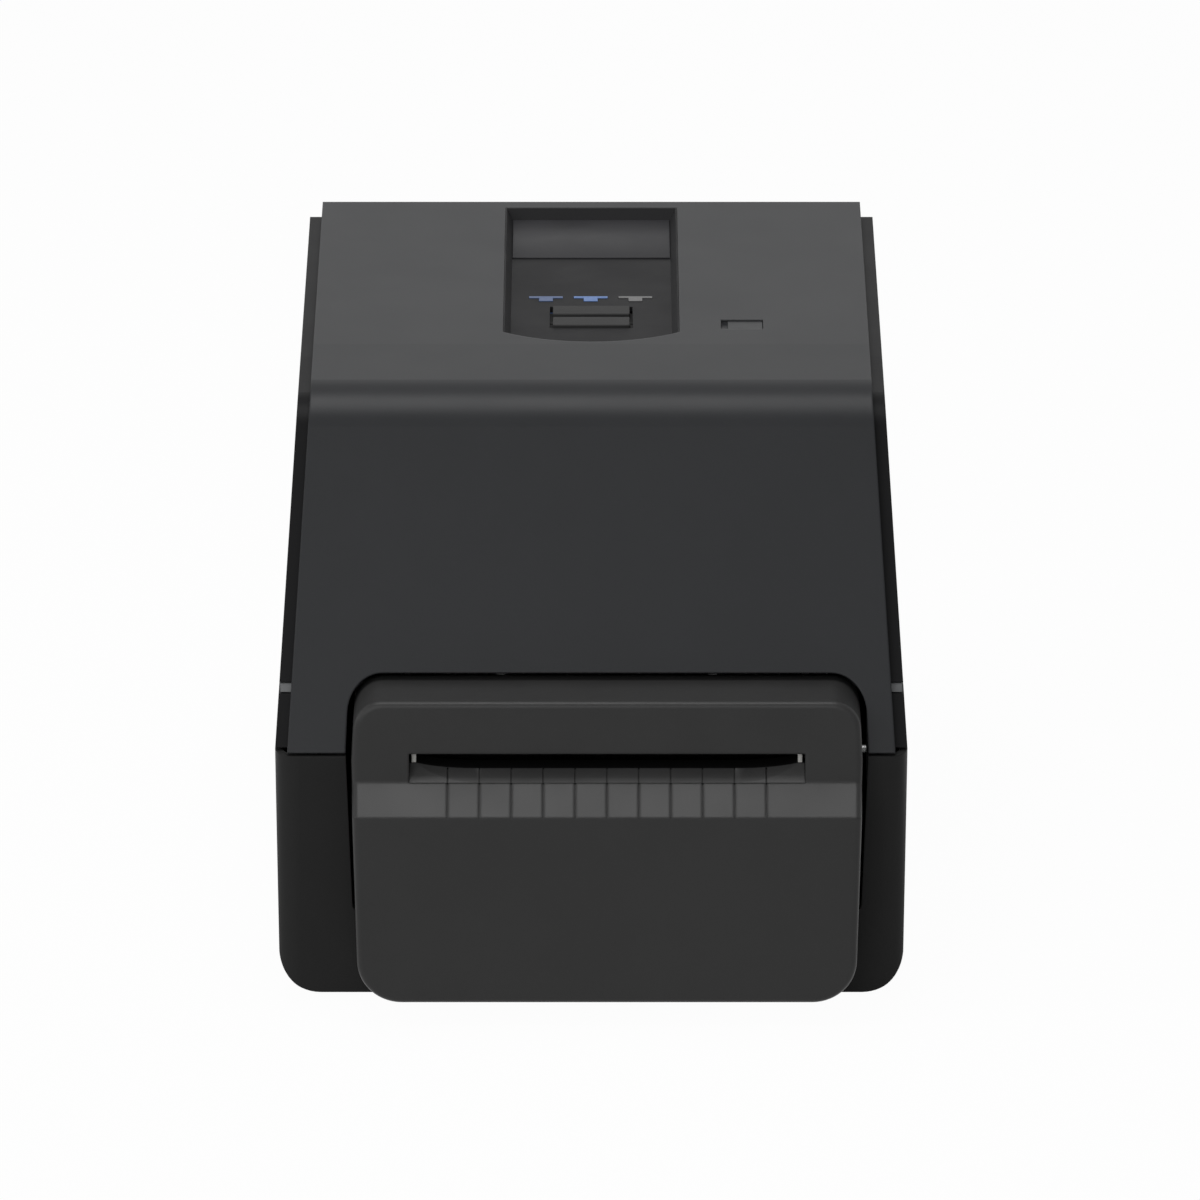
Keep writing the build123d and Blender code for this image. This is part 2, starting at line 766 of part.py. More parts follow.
def case_block(inset, top):
    """Solid of the lower case's outside up to a height, moved inwards by the inset."""
    half_foot = side_x - case_draft - inset
    half_top = half_foot + case_draft * (top - floor_z) / case_height
    with BuildPart() as solid:
        with BuildSketch(Plane.XZ.offset(-rear_y + inset)) as front_view:
            with BuildLine():
                Polyline(
                    (-half_foot, floor_z + inset),
                    (half_foot, floor_z + inset),
                    (half_top, top),
                    (-half_top, top),
                    close=True,
                )
            make_face()
            fillet(front_view.vertices().group_by(Axis.Y)[0], case_side_radius - inset)
        extrude(amount=body_depth - 2 * inset)
        with BuildSketch(Plane.XY):
            with Locations((0, (front_y + rear_y) / 2)):
                RectangleRounded(
                    body_width - 2 * inset, body_depth - 2 * inset, case_corner_radius - inset
                )
        extrude(amount=far, mode=Mode.INTERSECT)
    return solid.part


# Rear sockets: name, middle along X, width, height
sockets = [
    ("power_inlet", -52.0, 14.0, 13.0),
    ("serial_socket", -4.0, 32.0, 13.0),
    ("network_socket", 24.0, 16.4, 14.0),
    ("usb_socket", 48.0, 12.4, 11.4),
]
socket_depth = 16.0
socket_cavity = 10.0
socket_floor = 2.0
switch_x = -30.0
switch_width = 14.0
switch_height_rear = 21.0
switch_z = 24.0

with BuildPart() as lower_case:
    add(case_block(0, parting_z))
    add(case_block(wall, parting_z + skirt), mode=Mode.SUBTRACT)
    extrude(
        module_front(module_gap, cutout_foot_z, parting_z + skirt, front_y + 2 * wall, 1.0),
        amount=4 * wall,
        mode=Mode.SUBTRACT,
    )
    for _, x, width, height in sockets:
        half = width / 2 + snug
        low = socket_z - snug
        block((x - half, x + half), (wall_inner_y - wall, far), (low, low + height + 2 * snug), Mode.SUBTRACT)
    half = switch_width / 2 + snug
    half_tall = switch_height_rear / 2 + snug
    block(
        (switch_x - half, switch_x + half),
        (wall_inner_y - wall, far),
        (switch_z - half_tall, switch_z + half_tall),
        Mode.SUBTRACT,
    )
    block((-lip_half_width, lip_half_width), (lip_front_y, wall_inner_y), (parting_z - wall, parting_z))
    block((-lip_half_width, lip_half_width), (lip_front_y, lip_front_y + wall), (parting_z - wall, lip_z))
write(lower_case, "lower_case")

with BuildPart() as rubber_feet:
    for x in (-foot_x, foot_x):
        for y in (front_y + foot_from_end, rear_y - foot_from_end):
            rod_z(x, y, (0, foot_height), foot_radius)
    chamfer(rubber_feet.edges().group_by(Axis.Z)[0], 0.6)
write(rubber_feet, "rubber_feet")

# Side frames: sheet metal plates with a screwed flange, carrying the platen and the guide rods
rod_ys = (roll_y - 31.0, roll_y + 31.0)
rod_height = deck_z + 14.5
frame_flange = 12.0
bush_radius = 5.0
bush_flange_radius = 7.0
bush_flange = 1.2
idler_post_radius = 2.5
motor_boss_radius = 5.0
idler_mesh = gear_module * (platen_teeth + idler_teeth) / 2
pinion_mesh = gear_module * (idler_teeth + pinion_teeth) / 2
train_angle = math.degrees(math.atan2(-4, 3))
idler_y = platen_y + idler_mesh * math.cos(math.radians(train_angle))
idler_z = platen_z + idler_mesh * math.sin(math.radians(train_angle))
motor_y = idler_y + pinion_mesh * math.cos(math.radians(train_angle))
motor_z = idler_z + pinion_mesh * math.sin(math.radians(train_angle))
frame_step_z = parting_z - 39.3
frame_end_y = frame_rear_y + 14.0
frame_outline = [
    (frame_front_y, deck_z),
    (frame_front_y, frame_top_z),
    (front_y + 81.5, frame_top_z),
    (front_y + 111.5, frame_step_z),
    (frame_end_y, frame_step_z),
    (frame_end_y, deck_z),
]
left_sheet = (frame_left_x - frame_sheet, frame_left_x)
right_sheet = (frame_right_x, frame_right_x + frame_sheet)
frame_screw_ys = (frame_front_y + 30.0, frame_front_y + 105.0, frame_rear_y - 6.0)

for x, outward, frame_side in ((left_sheet, -1, "left"), (right_sheet, 1, "right")):
    with BuildPart() as side_frame:
        plate_x(x, frame_outline)
        edge = x[0] if outward < 0 else x[1]
        flange_x = sorted((edge, edge + outward * frame_flange))
        block(flange_x, (front_y + 31.5, frame_end_y), (deck_z, deck_z + frame_sheet))
        rod_x(x, platen_y, platen_z, bush_radius, Mode.SUBTRACT)
        for y in rod_ys:
            rod_x(x, y, rod_height, guide_rod_radius, Mode.SUBTRACT)
        if outward < 0:
            rod_x(x, motor_y, motor_z, motor_boss_radius, Mode.SUBTRACT)
            rod_x(x, idler_y, idler_z, idler_post_radius, Mode.SUBTRACT)
        for y in frame_screw_ys:
            rod_z(sum(flange_x) / 2, y, (deck_z, deck_z + frame_sheet), screw_radius + clear, Mode.SUBTRACT)
    write(side_frame, f"side_frame_{frame_side}")

with BuildPart() as frame_screws:
    for x in (left_sheet[0] - frame_flange / 2, right_sheet[1] + frame_flange / 2):
        for y in frame_screw_ys:
            rod_z(x, y, (deck_z, deck_z + frame_sheet), screw_radius)
            rod_z(x, y, (deck_z + frame_sheet, deck_z + frame_sheet + screw_head_height), screw_head_radius)
write(frame_screws, "frame_screws")

# Platen: rubber roller on a steel shaft, with its gear outside the left frame
shaft_left_x = left_sheet[0] - bush_flange - gear_width - 4
train_x = (left_sheet[0] - bush_flange - 1 - gear_width, left_sheet[0] - bush_flange - 1)
roller_half = frame_half_span - roller_gap
with BuildPart() as platen_shaft:
    rod_x((shaft_left_x, right_sheet[1] + 4), platen_y, platen_z, platen_shaft_radius)

with BuildPart() as platen_roller:
    roller_x = (media_x - roller_half, media_x + roller_half)
    rod_x(roller_x, platen_y, platen_z, platen_radius)
    rod_x(roller_x, platen_y, platen_z, platen_shaft_radius, Mode.SUBTRACT)
write(platen_roller, "platen_roller")

with BuildPart() as platen_gear:
    gear_on_x(train_x, platen_y, platen_z, platen_teeth, train_angle, platen_shaft_radius)
    add(platen_shaft.part)
write(platen_gear, "platen_shaft")

with BuildPart() as platen_bushes:
    for x, outer in ((left_sheet, left_sheet[0] - bush_flange), (right_sheet, right_sheet[1] + bush_flange)):
        rod_x(x, platen_y, platen_z, bush_radius)
        flange = sorted((outer, x[0] if outer < x[0] else x[1]))
        rod_x(flange, platen_y, platen_z, bush_flange_radius)
        bore = (min(x[0], outer), max(x[1], outer))
        rod_x(bore, platen_y, platen_z, platen_shaft_radius + slip, Mode.SUBTRACT)
write(platen_bushes, "platen_bushes")

with BuildPart() as idler_post:
    rod_x((train_x[0] - 1, left_sheet[1]), idler_y, idler_z, idler_post_radius)
    rod_x((train_x[0] - 2, train_x[0] - clear), idler_y, idler_z, 2 * idler_post_radius)
    rod_x((train_x[1] + clear, left_sheet[0]), idler_y, idler_z, 2 * idler_post_radius)
write(idler_post, "idler_post")

with BuildPart() as idler_gear:
    idler_phase = train_angle + 180 + 180 / idler_teeth
    gear_on_x(train_x, idler_y, idler_z, idler_teeth, idler_phase, idler_post_radius + slip)
write(idler_gear, "idler_gear")

motor_size = 35.0
motor_length = 34.0
motor_shaft_radius = 2.5
motor_bore_depth = 15.0
with BuildPart() as stepper_motor:
    with BuildSketch(Plane.YZ.offset(left_sheet[1])) as motor_face:
        with Locations((motor_y, motor_z)):
            RectangleRounded(motor_size, motor_size, 4)
    extrude(motor_face.sketch, amount=motor_length)
    rod_x(left_sheet, motor_y, motor_z, motor_boss_radius)
    bore = (left_sheet[0], left_sheet[1] + motor_bore_depth)
    rod_x(bore, motor_y, motor_z, motor_shaft_radius + slip, Mode.SUBTRACT)
write(stepper_motor, "stepper_motor")

with BuildPart() as motor_shaft:
    rod_x((train_x[0] - 1, left_sheet[1] + motor_bore_depth - 1), motor_y, motor_z, motor_shaft_radius)

with BuildPart() as motor_pinion:
    steps_from_idler = (train_angle - idler_phase) * idler_teeth / 360
    pinion_phase = train_angle + 180 + 360 / pinion_teeth * (steps_from_idler + 0.5)
    gear_on_x(train_x, motor_y, motor_z, pinion_teeth, pinion_phase, motor_shaft_radius)
    add(motor_shaft.part)
write(motor_pinion, "motor_pinion")


# Media deck behind the platen, with the slot that the label sensor slides along
deck_ys = (front_y + 51.5, front_y + 97.5)
deck_sheet = 1.5
sensor_y = front_y + 72.5
sensor_slot_half_width = 5.0
sensor_half_length = 8.0
sensor_travel = 20.0
sensor_slot_half_length = sensor_half_length + sensor_travel + 2.0
sensor_body_lap = 3.0
deck_apron = 12.0
sensor_rod_radius = 2.0
sensor_rod_z = parting_z - 7.3
tray_z = (deck_z + 6.7, deck_z + 7.9)
tray_front_y = deck_ys[1]
tray_rear_y = frame_end_y
tray_wall_z = deck_z + 16.5
inner_x = (frame_left_x, frame_right_x)

with BuildPart() as media_deck:
    block(inner_x, deck_ys, (frame_top_z - deck_sheet, frame_top_z))
    block(inner_x, (deck_ys[0], deck_ys[0] + deck_sheet), (frame_top_z - deck_apron, frame_top_z))
    block(inner_x, (deck_ys[1] - deck_sheet, deck_ys[1]), (tray_z[0], frame_top_z))
    block(
        (media_x - sensor_slot_half_length, media_x + sensor_slot_half_length),
        (sensor_y - sensor_slot_half_width, sensor_y + sensor_slot_half_width),
        (frame_top_z - deck_sheet, frame_top_z),
        Mode.SUBTRACT,
    )
write(media_deck, "media_deck")

with BuildPart() as media_sensor:
    sensor_x = (media_x - sensor_half_length, media_x + sensor_half_length)
    half = sensor_slot_half_width - clear
    block(sensor_x, (sensor_y - half, sensor_y + half), (sensor_rod_z, frame_top_z - clear))
    half = sensor_slot_half_width + sensor_body_lap
    body_z = (sensor_rod_z - 2 * sensor_rod_radius, frame_top_z - deck_sheet - clear)
    block(sensor_x, (sensor_y - half, sensor_y + half), body_z)
    rod_x(sensor_x, sensor_y, sensor_rod_z, sensor_rod_radius + slip, Mode.SUBTRACT)
write(media_sensor, "media_sensor")

with BuildPart() as sensor_rod:
    rod_x((frame_left_x, frame_right_x), sensor_y, sensor_rod_z, sensor_rod_radius)

with BuildPart() as guide_rods:
    for y in rod_ys:
        rod_x((left_sheet[0], right_sheet[1]), y, rod_height, guide_rod_radius)
    add(sensor_rod.part)
write(guide_rods, "media_rods")

# Media holders: two cheeks on the guide rods, drawn together by racks and one pinion
pinion_radius = gear_module * holder_pinion_teeth / 2
rack_back = 4.0
rack_z = (deck_z + 2.0, deck_z + 6.0)
rack_pitch = math.pi * gear_module
holder_foot_z = deck_z + 8.5
holder_plug_radius = 12.0
holder_plug_length = 10.0
holder_hub_radius = 16.0
rack_reach = 10.0
rack_tooth_count = 18
rod_margin = 8.0
hub_margin = 2.0
holder_outline = [
    (rod_ys[0] - rod_margin, holder_foot_z),
    (rod_ys[0] - rod_margin, rod_height + rod_margin),
    (roll_y - holder_hub_radius + hub_margin, roll_z),
    (roll_y + holder_hub_radius - hub_margin, roll_z),
    (rod_ys[1] + rod_margin, rod_height + rod_margin),
    (rod_ys[1] + rod_margin, holder_foot_z),
]

for side, holder_side in ((-1, "left"), (1, "right")):
    with BuildPart() as media_holder:
        inner = media_x + side * holder_half_span
        outer = inner + side * holder_sheet
        x = sorted((inner, outer))
        plate_x(x, holder_outline)
        rod_x(x, roll_y, roll_z, holder_hub_radius)
        rod_x(sorted((inner, inner - side * holder_plug_length)), roll_y, roll_z, holder_plug_radius)
        for y in rod_ys:
            rod_x(x, y, rod_height, guide_rod_radius + slip, Mode.SUBTRACT)
        pitch_line = roll_y + side * pinion_radius
        root_line = pitch_line + side * 1.15 * gear_module
        rack_y = sorted((root_line, root_line + side * rack_back))
        block(sorted((outer, media_x - side * rack_reach)), rack_y, rack_z)
        block(x, rack_y, (rack_z[0], holder_foot_z))
        places = [
            (media_x + side * (index - 2.5) * rack_pitch, pitch_line) for index in range(rack_tooth_count)
        ]
        rack_teeth(Plane.XY.offset(rack_z[0]), places, rack_z[1] - rack_z[0], -side)
    write(media_holder, f"media_holder_{holder_side}")

bracket_top_z = rack_z[0] - clear
holder_post_radius = 2.5
rack_bracket_half = (14.0, 18.0)
with BuildPart() as rack_bracket:
    across = (media_x - rack_bracket_half[0], media_x + rack_bracket_half[0])
    block(across, (roll_y - rack_bracket_half[1], roll_y + rack_bracket_half[1]), (deck_z, bracket_top_z))
    rod_z(media_x, roll_y, (bracket_top_z, tray_z[0]), holder_post_radius)

with BuildPart() as holder_pinion:
    gear(
        Plane.XY.offset(rack_z[0]),
        (media_x, roll_y),
        rack_z[1] - rack_z[0],
        holder_pinion_teeth,
        -90,
        holder_post_radius + slip,
    )
write(holder_pinion, "holder_pinion")

with BuildPart() as media_tray:
    block(inner_x, (tray_front_y, tray_rear_y), tray_z)
    block(inner_x, (tray_rear_y - deck_sheet, tray_rear_y), (tray_z[0], tray_wall_z))
    for side in (-1, 1):
        root_line = roll_y + side * (pinion_radius + 1.15 * gear_module)
        slot_y = sorted((root_line - side * clear, root_line + side * (rack_back + clear)))
        ends = (
            media_x + side * (holder_half_span + holder_sheet + clear),
            media_x + side * (holder_half_span - holder_travel - clear),
        )
        block(sorted(ends), slot_y, tray_z, Mode.SUBTRACT)
    add(rack_bracket.part)
write(media_tray, "media_tray")


# Cutter module: a shell that stands in the cut-out of the case and of the cover
module_rear_y = front_y + module_back_depth
ledge_rear = (module_front_y + ledge_run, ledge_front_z + ledge_rise)
face_top_y = ledge_rear[0] + (module_top_z - ledge_rear[1]) * math.tan(math.radians(upper_face_lean))
inner_foot_z = cutout_foot_z + module_gap


def module_side(inset, rear):
    """Side view of the cutter module, moved inwards by the inset."""
    with BuildSketch(Plane.YZ.offset(-body_width)) as side_view:
        with BuildLine():
            Polyline(
                (module_front_y, module_foot_z),
                (module_front_y, ledge_front_z),
                ledge_rear,
                (face_top_y, module_top_z),
                (rear, module_top_z),
                (rear, inner_foot_z),
                (front_y, inner_foot_z),
                (front_y, module_foot_z),
                close=True,
            )
        make_face()
        if inset:
            offset(amount=-inset, kind=Kind.INTERSECTION)
    return side_view.sketch


def module_block(inset, rear):
    """Solid of the cutter module, moved inwards by the inset."""
    front_view = module_front(-inset, module_foot_z + inset, module_top_z - inset, rear)
    with BuildPart() as solid:
        extrude(front_view, amount=rear - module_front_y)
        extrude(module_side(inset, rear), amount=2 * body_width, mode=Mode.INTERSECT)
    return solid.part


slot_x = (media_x - slot_half_width, media_x + slot_half_width)
groove_xs = [media_x + (index - (groove_count - 1) / 2) * groove_pitch for index in range(groove_count)]
ramp_rear_y = front_y + 4.5
ramp_foot_z = parting_z - 7.3
shelf_sheet = 2.0
lip_y = ledge_rear[0] + slot_lip_back
lip_end_z = slot_lip_z + slot_lip_bow
frame_plate = 3.0
cutter_xs = (frame_left_x - frame_sheet - frame_plate, frame_right_x + frame_sheet + frame_plate)
cutter_front_y = front_y + 0.5
cutter_zs = (parting_z - 45.3, parting_z + 13.7)
module_rib_z = (parting_z - 25.3, parting_z - 22.3)


def groove(low, high, mode=Mode.SUBTRACT):
    """Cut one label groove along each groove line, between two (y, z) points of a surface."""
    run = math.hypot(high[0] - low[0], high[1] - low[1])
    over = ((low[1] - high[1]) / run, (high[0] - low[0]) / run)
    outline = [
        (low[0] - groove_depth * over[0], low[1] - groove_depth * over[1]),
        (high[0] - groove_depth * over[0], high[1] - groove_depth * over[1]),
        (high[0] + groove_depth * over[0], high[1] + groove_depth * over[1]),
        (low[0] + groove_depth * over[0], low[1] + groove_depth * over[1]),
    ]
    for x in groove_xs:
        plate_x((x - groove_width / 2, x + groove_width / 2), outline, mode)


with BuildPart() as cutter_cover:
    add(module_block(0, module_rear_y))
    front_rim = [
        edge
        for edge in cutter_cover.edges()
        if edge.center().Y < face_top_y + 1
        and abs(edge.tangent_at(0.5).X) < 0.9
        and abs(edge.tangent_at(0.5).Y) < 0.99
    ]
    top_crease = [
        edge
        for edge in cutter_cover.edges()
        if abs(edge.center().Y - face_top_y) < 1 and abs(edge.tangent_at(0.5).X) > 0.99
    ]
    fillet(front_rim + top_crease, module_edge_radius)
    add(module_block(wall, module_rear_y + 2 * wall), mode=Mode.SUBTRACT)
    block((-far, far), (frame_front_y - snug, far), (0, parting_z), Mode.SUBTRACT)
    shelf_ys = (ledge_rear[0] - shelf_sheet, ramp_rear_y)
    shelf_x = (slot_x[0] - shelf_sheet, slot_x[1] + shelf_sheet)
    block(shelf_x, shelf_ys, (ramp_foot_z - shelf_sheet, ramp_foot_z))
    plate_x(
        slot_x,
        [
            (ledge_rear[0], ledge_rear[1]),
            (ledge_rear[0] + shelf_sheet, ramp_foot_z),
            (ramp_rear_y + wall, ramp_foot_z),
            (ramp_rear_y + wall, slot_top_z),
            (module_front_y, slot_top_z),
            (module_front_y, ledge_rear[1]),
        ],
        Mode.SUBTRACT,
    )
    groove((module_front_y, ledge_front_z), ledge_rear)
    for x, outward in zip(cutter_xs, (-1, 1)):
        wall_x = media_x + outward * module_foot_half_width
        block(sorted((x, wall_x)), (cutter_front_y + 2, frame_front_y - 2), module_rib_z)
write(cutter_cover, "cutter_cover")

# Lip and ramp that the label slides down, with its two white end guides
bow_flat = 21.0
guide_width = 1.5
guide_depth = 4.0
guide_height = 3.6
guide_inset = 0.8
land = guide_inset + guide_width + 0.2
slope = (ledge_rear[1] - slot_lip_z) / (ledge_rear[0] - lip_y)
ramp_x = (slot_x[0] + snug, slot_x[1] - snug)


def lip_room(y):
    """Front view of the space above the bowed lip, on a plane square to Y."""
    low_x = (ramp_x[0] + land + bow_flat, ramp_x[1] - land - bow_flat)
    end_x = (ramp_x[0] + land, ramp_x[1] - land)
    with BuildSketch(Plane.XZ.offset(-y)) as front_view:
        with BuildLine():
            Line((low_x[0], slot_lip_z), (low_x[1], slot_lip_z))
            Spline((low_x[1], slot_lip_z), (end_x[1], lip_end_z), tangents=((1, 0), (1, 0.25)))
            Polyline(
                (end_x[1], lip_end_z),
                (end_x[1], slot_top_z),
                (end_x[0], slot_top_z),
                (end_x[0], lip_end_z),
            )
            Spline((end_x[0], lip_end_z), (low_x[0], slot_lip_z), tangents=((1, -0.25), (1, 0)))
        make_face()
    return front_view.sketch


with BuildPart() as exit_ramp:
    plate_x(
        ramp_x,
        [
            (ledge_rear[0] + snug, ledge_rear[1]),
            (ledge_rear[0] + snug + shelf_sheet, ramp_foot_z),
            (ramp_rear_y, ramp_foot_z),
            (ramp_rear_y, lip_end_z),
            (lip_y, lip_end_z),
        ],
    )
    extrude(lip_room(ramp_rear_y), amount=ramp_rear_y - lip_y, mode=Mode.SUBTRACT)
    fall = Vector(0, -1, -slope)
    extrude(lip_room(lip_y), amount=2 * slot_lip_back, dir=fall, mode=Mode.SUBTRACT)
    groove(ledge_rear, (lip_y, slot_lip_z))
write(exit_ramp, "exit_ramp")

with BuildPart() as slot_guides:
    for x in (slot_x[0] + guide_inset, slot_x[1] - guide_inset - guide_width):
        block((x, x + guide_width), (lip_y, lip_y + guide_depth), (lip_end_z, lip_end_z + guide_height))
write(slot_guides, "slot_guides")

# Guillotine cutter behind the slot: a frame with a fixed blade and a blade that rises past it
blade_ys = (front_y + 7.2, front_y + 8.7)
blade_zs = (parting_z - 15.3, parting_z - 0.8)
fixed_blade_zs = (parting_z + 2.7, parting_z + 10.7)
blade_gap = 0.2
blade_travel = 7.0
cutter_pinion_teeth = 12
cutter_axis_y = front_y + 16.7
cutter_axis_z = parting_z - 27.3
cutter_rack_x = (cutter_xs[0] + 22.4, cutter_xs[0] + 28.4)
cutter_motor_length = 28.0
cutter_motor_radius = 8.0
cutter_shaft_radius = 1.5
cutter_bracket_x = (cutter_rack_x[1] + 2, cutter_rack_x[1] + 4)
inner_cutter_xs = (cutter_xs[0] + frame_plate, cutter_xs[1] - frame_plate)
rail_width = 3.0
blade_side_ys = (cutter_front_y, module_rear_y)

with BuildPart() as cutter_frame:
    block((cutter_xs[0], inner_cutter_xs[0]), blade_side_ys, cutter_zs)
    block((inner_cutter_xs[1], cutter_xs[1]), blade_side_ys, cutter_zs)
    block(cutter_xs, (cutter_front_y, frame_front_y), (cutter_zs[0], cutter_zs[0] + frame_plate))
    block(cutter_xs, blade_side_ys, (fixed_blade_zs[1], cutter_zs[1]))
    fixed_ys = (blade_ys[0] - blade_gap - frame_sheet, blade_ys[0] - blade_gap)
    block(cutter_xs, fixed_ys, fixed_blade_zs)
    rail_ys = (blade_ys[1] + clear, blade_ys[1] + rail_width)
    for x in (inner_cutter_xs[0], inner_cutter_xs[1] - rail_width):
        block((x, x + rail_width), rail_ys, (cutter_zs[0], fixed_blade_zs[1]))
    block(
        cutter_bracket_x,
        (blade_ys[1] + 1, module_rear_y),
        (cutter_zs[0], cutter_axis_z + cutter_motor_radius),
    )
    rod_x(cutter_bracket_x, cutter_axis_y, cutter_axis_z, cutter_shaft_radius + clear, Mode.SUBTRACT)
write(cutter_frame, "cutter_frame")

rack_pitch_y = cutter_axis_y - gear_module * cutter_pinion_teeth / 2
with BuildPart() as moving_blade:
    block((inner_cutter_xs[0] + clear, inner_cutter_xs[1] - clear), blade_ys, blade_zs)
    rack_foot_z = cutter_axis_z - 3.5 * rack_pitch - blade_travel / 2
    rack_root_y = rack_pitch_y - 1.15 * gear_module
    block(cutter_rack_x, (blade_ys[0], rack_root_y), (rack_foot_z, blade_zs[0] + 4))
    rack_places = [(cutter_axis_z + (index - 3.5) * rack_pitch, rack_pitch_y) for index in range(6)]
    rack_teeth(
        Plane(origin=(cutter_rack_x[1], 0, 0), x_dir=(0, 0, 1), z_dir=(-1, 0, 0)),
        rack_places,
        cutter_rack_x[1] - cutter_rack_x[0],
        1,
    )
write(moving_blade, "moving_blade")

with BuildPart() as cutter_pinion:
    gear_on_x(
        (cutter_rack_x[0] - 1, cutter_rack_x[1] + 1),
        cutter_axis_y,
        cutter_axis_z,
        cutter_pinion_teeth,
        180,
        cutter_shaft_radius,
    )
    shaft_x = (cutter_rack_x[0] - 1, cutter_bracket_x[1] + 4)
    rod_x(shaft_x, cutter_axis_y, cutter_axis_z, cutter_shaft_radius)
write(cutter_pinion, "cutter_pinion")

with BuildPart() as cutter_motor:
    can_x = (cutter_bracket_x[1], cutter_bracket_x[1] + cutter_motor_length)
    rod_x(can_x, cutter_axis_y, cutter_axis_z, cutter_motor_radius)
    bore_x = (can_x[0], can_x[0] + 5)
    rod_x(bore_x, cutter_axis_y, cutter_axis_z, cutter_shaft_radius + slip, Mode.SUBTRACT)
write(cutter_motor, "cutter_motor")

# Hinge ears with their pins, and the pins that the latch hooks reach for
ear_stem_ys = (hinge_y - hinge_ear_radius, hinge_y + hinge_ear_radius / 2)
ear_foot_ys = (rear_y - 21.5, ear_stem_ys[1])
ear_foot_width = 16.0
ear_sheet = 1.5
with BuildPart() as hinge_brackets:
    for side in (-1, 1):
        inner = side * (hinge_ear_x - hinge_ear_width / 2)
        outer = side * (hinge_ear_x + hinge_ear_width / 2)
        x = sorted((inner, outer))
        rod_x(x, hinge_y, hinge_z, hinge_ear_radius)
        block(x, ear_stem_ys, (deck_z, hinge_z))
        block(sorted((outer, outer - side * ear_foot_width)), ear_foot_ys, (deck_z, deck_z + ear_sheet))
        pin_x = sorted((outer, side * (hinge_ear_x - hinge_ear_width / 2 - hinge_arm_width - 0.5)))
        rod_x(pin_x, hinge_y, hinge_z, hinge_pin_radius)
write(hinge_brackets, "hinge_brackets")

catch_post_half = 6.0
catch_plate_below = 8.0
catch_plate_above = 5.0
catch_post_ys = (catch_y - catch_post_half, catch_y + catch_post_half)
catch_plate_z = (catch_z - catch_plate_below, catch_z + catch_plate_above)
with BuildPart() as latch_catches:
    for side in (-1, 1):
        case_inner_x = side_x - wall - case_draft
        pin_x = sorted((side * (case_inner_x - 1), side * (hook_x - hook_sheet / 2 - 1.5)))
        rod_x(pin_x, catch_y, catch_z, catch_radius)
        block(sorted((side * (case_inner_x - 2), side * side_x)), catch_post_ys, catch_plate_z)
    add(case_block(wall, parting_z + skirt), mode=Mode.INTERSECT)
write(latch_catches, "latch_catches")

# Main board with its standoffs, the rear sockets and the power switch
board_sheet = 1.6
board_x = (-62.0, 60.0)
board_ys = (rear_y - 51.5, wall_inner_y - 1)
standoff_radius = 3.0
standoff_inset = 5.0
standoff_rear_inset = 22.0
board_rise = 3.5
board_chips = ((-40.0, 12.0, 14.0, 14.0, 1.6), (-10.0, 10.0, 20.0, 12.0, 1.4), (28.0, 12.0, 12.0, 12.0, 6.0))
board_z = (deck_z + board_rise, deck_z + board_rise + board_sheet)
with BuildPart() as main_board:
    block(board_x, board_ys, board_z)
    for x in (board_x[0] + standoff_inset, board_x[1] - standoff_inset):
        for y in (board_ys[0] + standoff_inset, board_ys[1] - standoff_rear_inset):
            rod_z(x, y, (deck_z, board_z[0]), standoff_radius)
    for x, back, across, deep, tall in board_chips:
        chip_y = board_ys[0] + back
        block((x, x + across), (chip_y, chip_y + deep), (board_z[1], board_z[1] + tall))
write(main_board, "main_board")


def socket_shell(x, width, height):
    """Add one rear socket that sits on the main board and opens through the rear wall."""
    half = width / 2
    shell_ys = (rear_y - socket_depth, rear_y)
    block((x - half, x + half), shell_ys, (board_z[1], socket_z + height))
    hollow = half - socket_floor
    hollow_z = (socket_z + socket_floor, socket_z + height - socket_floor)
    block((x - hollow, x + hollow), (rear_y - socket_cavity, rear_y), hollow_z, Mode.SUBTRACT)


socket_mouth = 5.5
inlet_pin_radius = 1.2
usb_tongue_half = (2.5, 1.5)
with BuildPart() as power_inlet:
    inlet_x = sockets[0][1]
    socket_shell(*sockets[0][1:])
    inlet_pin_z = socket_z + sockets[0][3] / 2
    with BuildSketch(Plane.XZ.offset(-rear_y + socket_mouth)) as inlet_pin:
        with Locations((inlet_x, inlet_pin_z)):
            Circle(inlet_pin_radius)
    extrude(inlet_pin.sketch, amount=socket_cavity - socket_mouth)
write(power_inlet, "power_inlet")

with BuildPart() as data_sockets:
    for _, x, width, height in sockets[1:]:
        socket_shell(x, width, height)
    usb_x = sockets[3][1]
    usb_z = socket_z + sockets[3][3] / 2
    tongue_ys = (rear_y - socket_cavity, rear_y - socket_mouth)
    tongue_x = (usb_x - usb_tongue_half[0], usb_x + usb_tongue_half[0])
    block(tongue_x, tongue_ys, (usb_z - usb_tongue_half[1], usb_z + usb_tongue_half[1]))
write(data_sockets, "data_sockets")

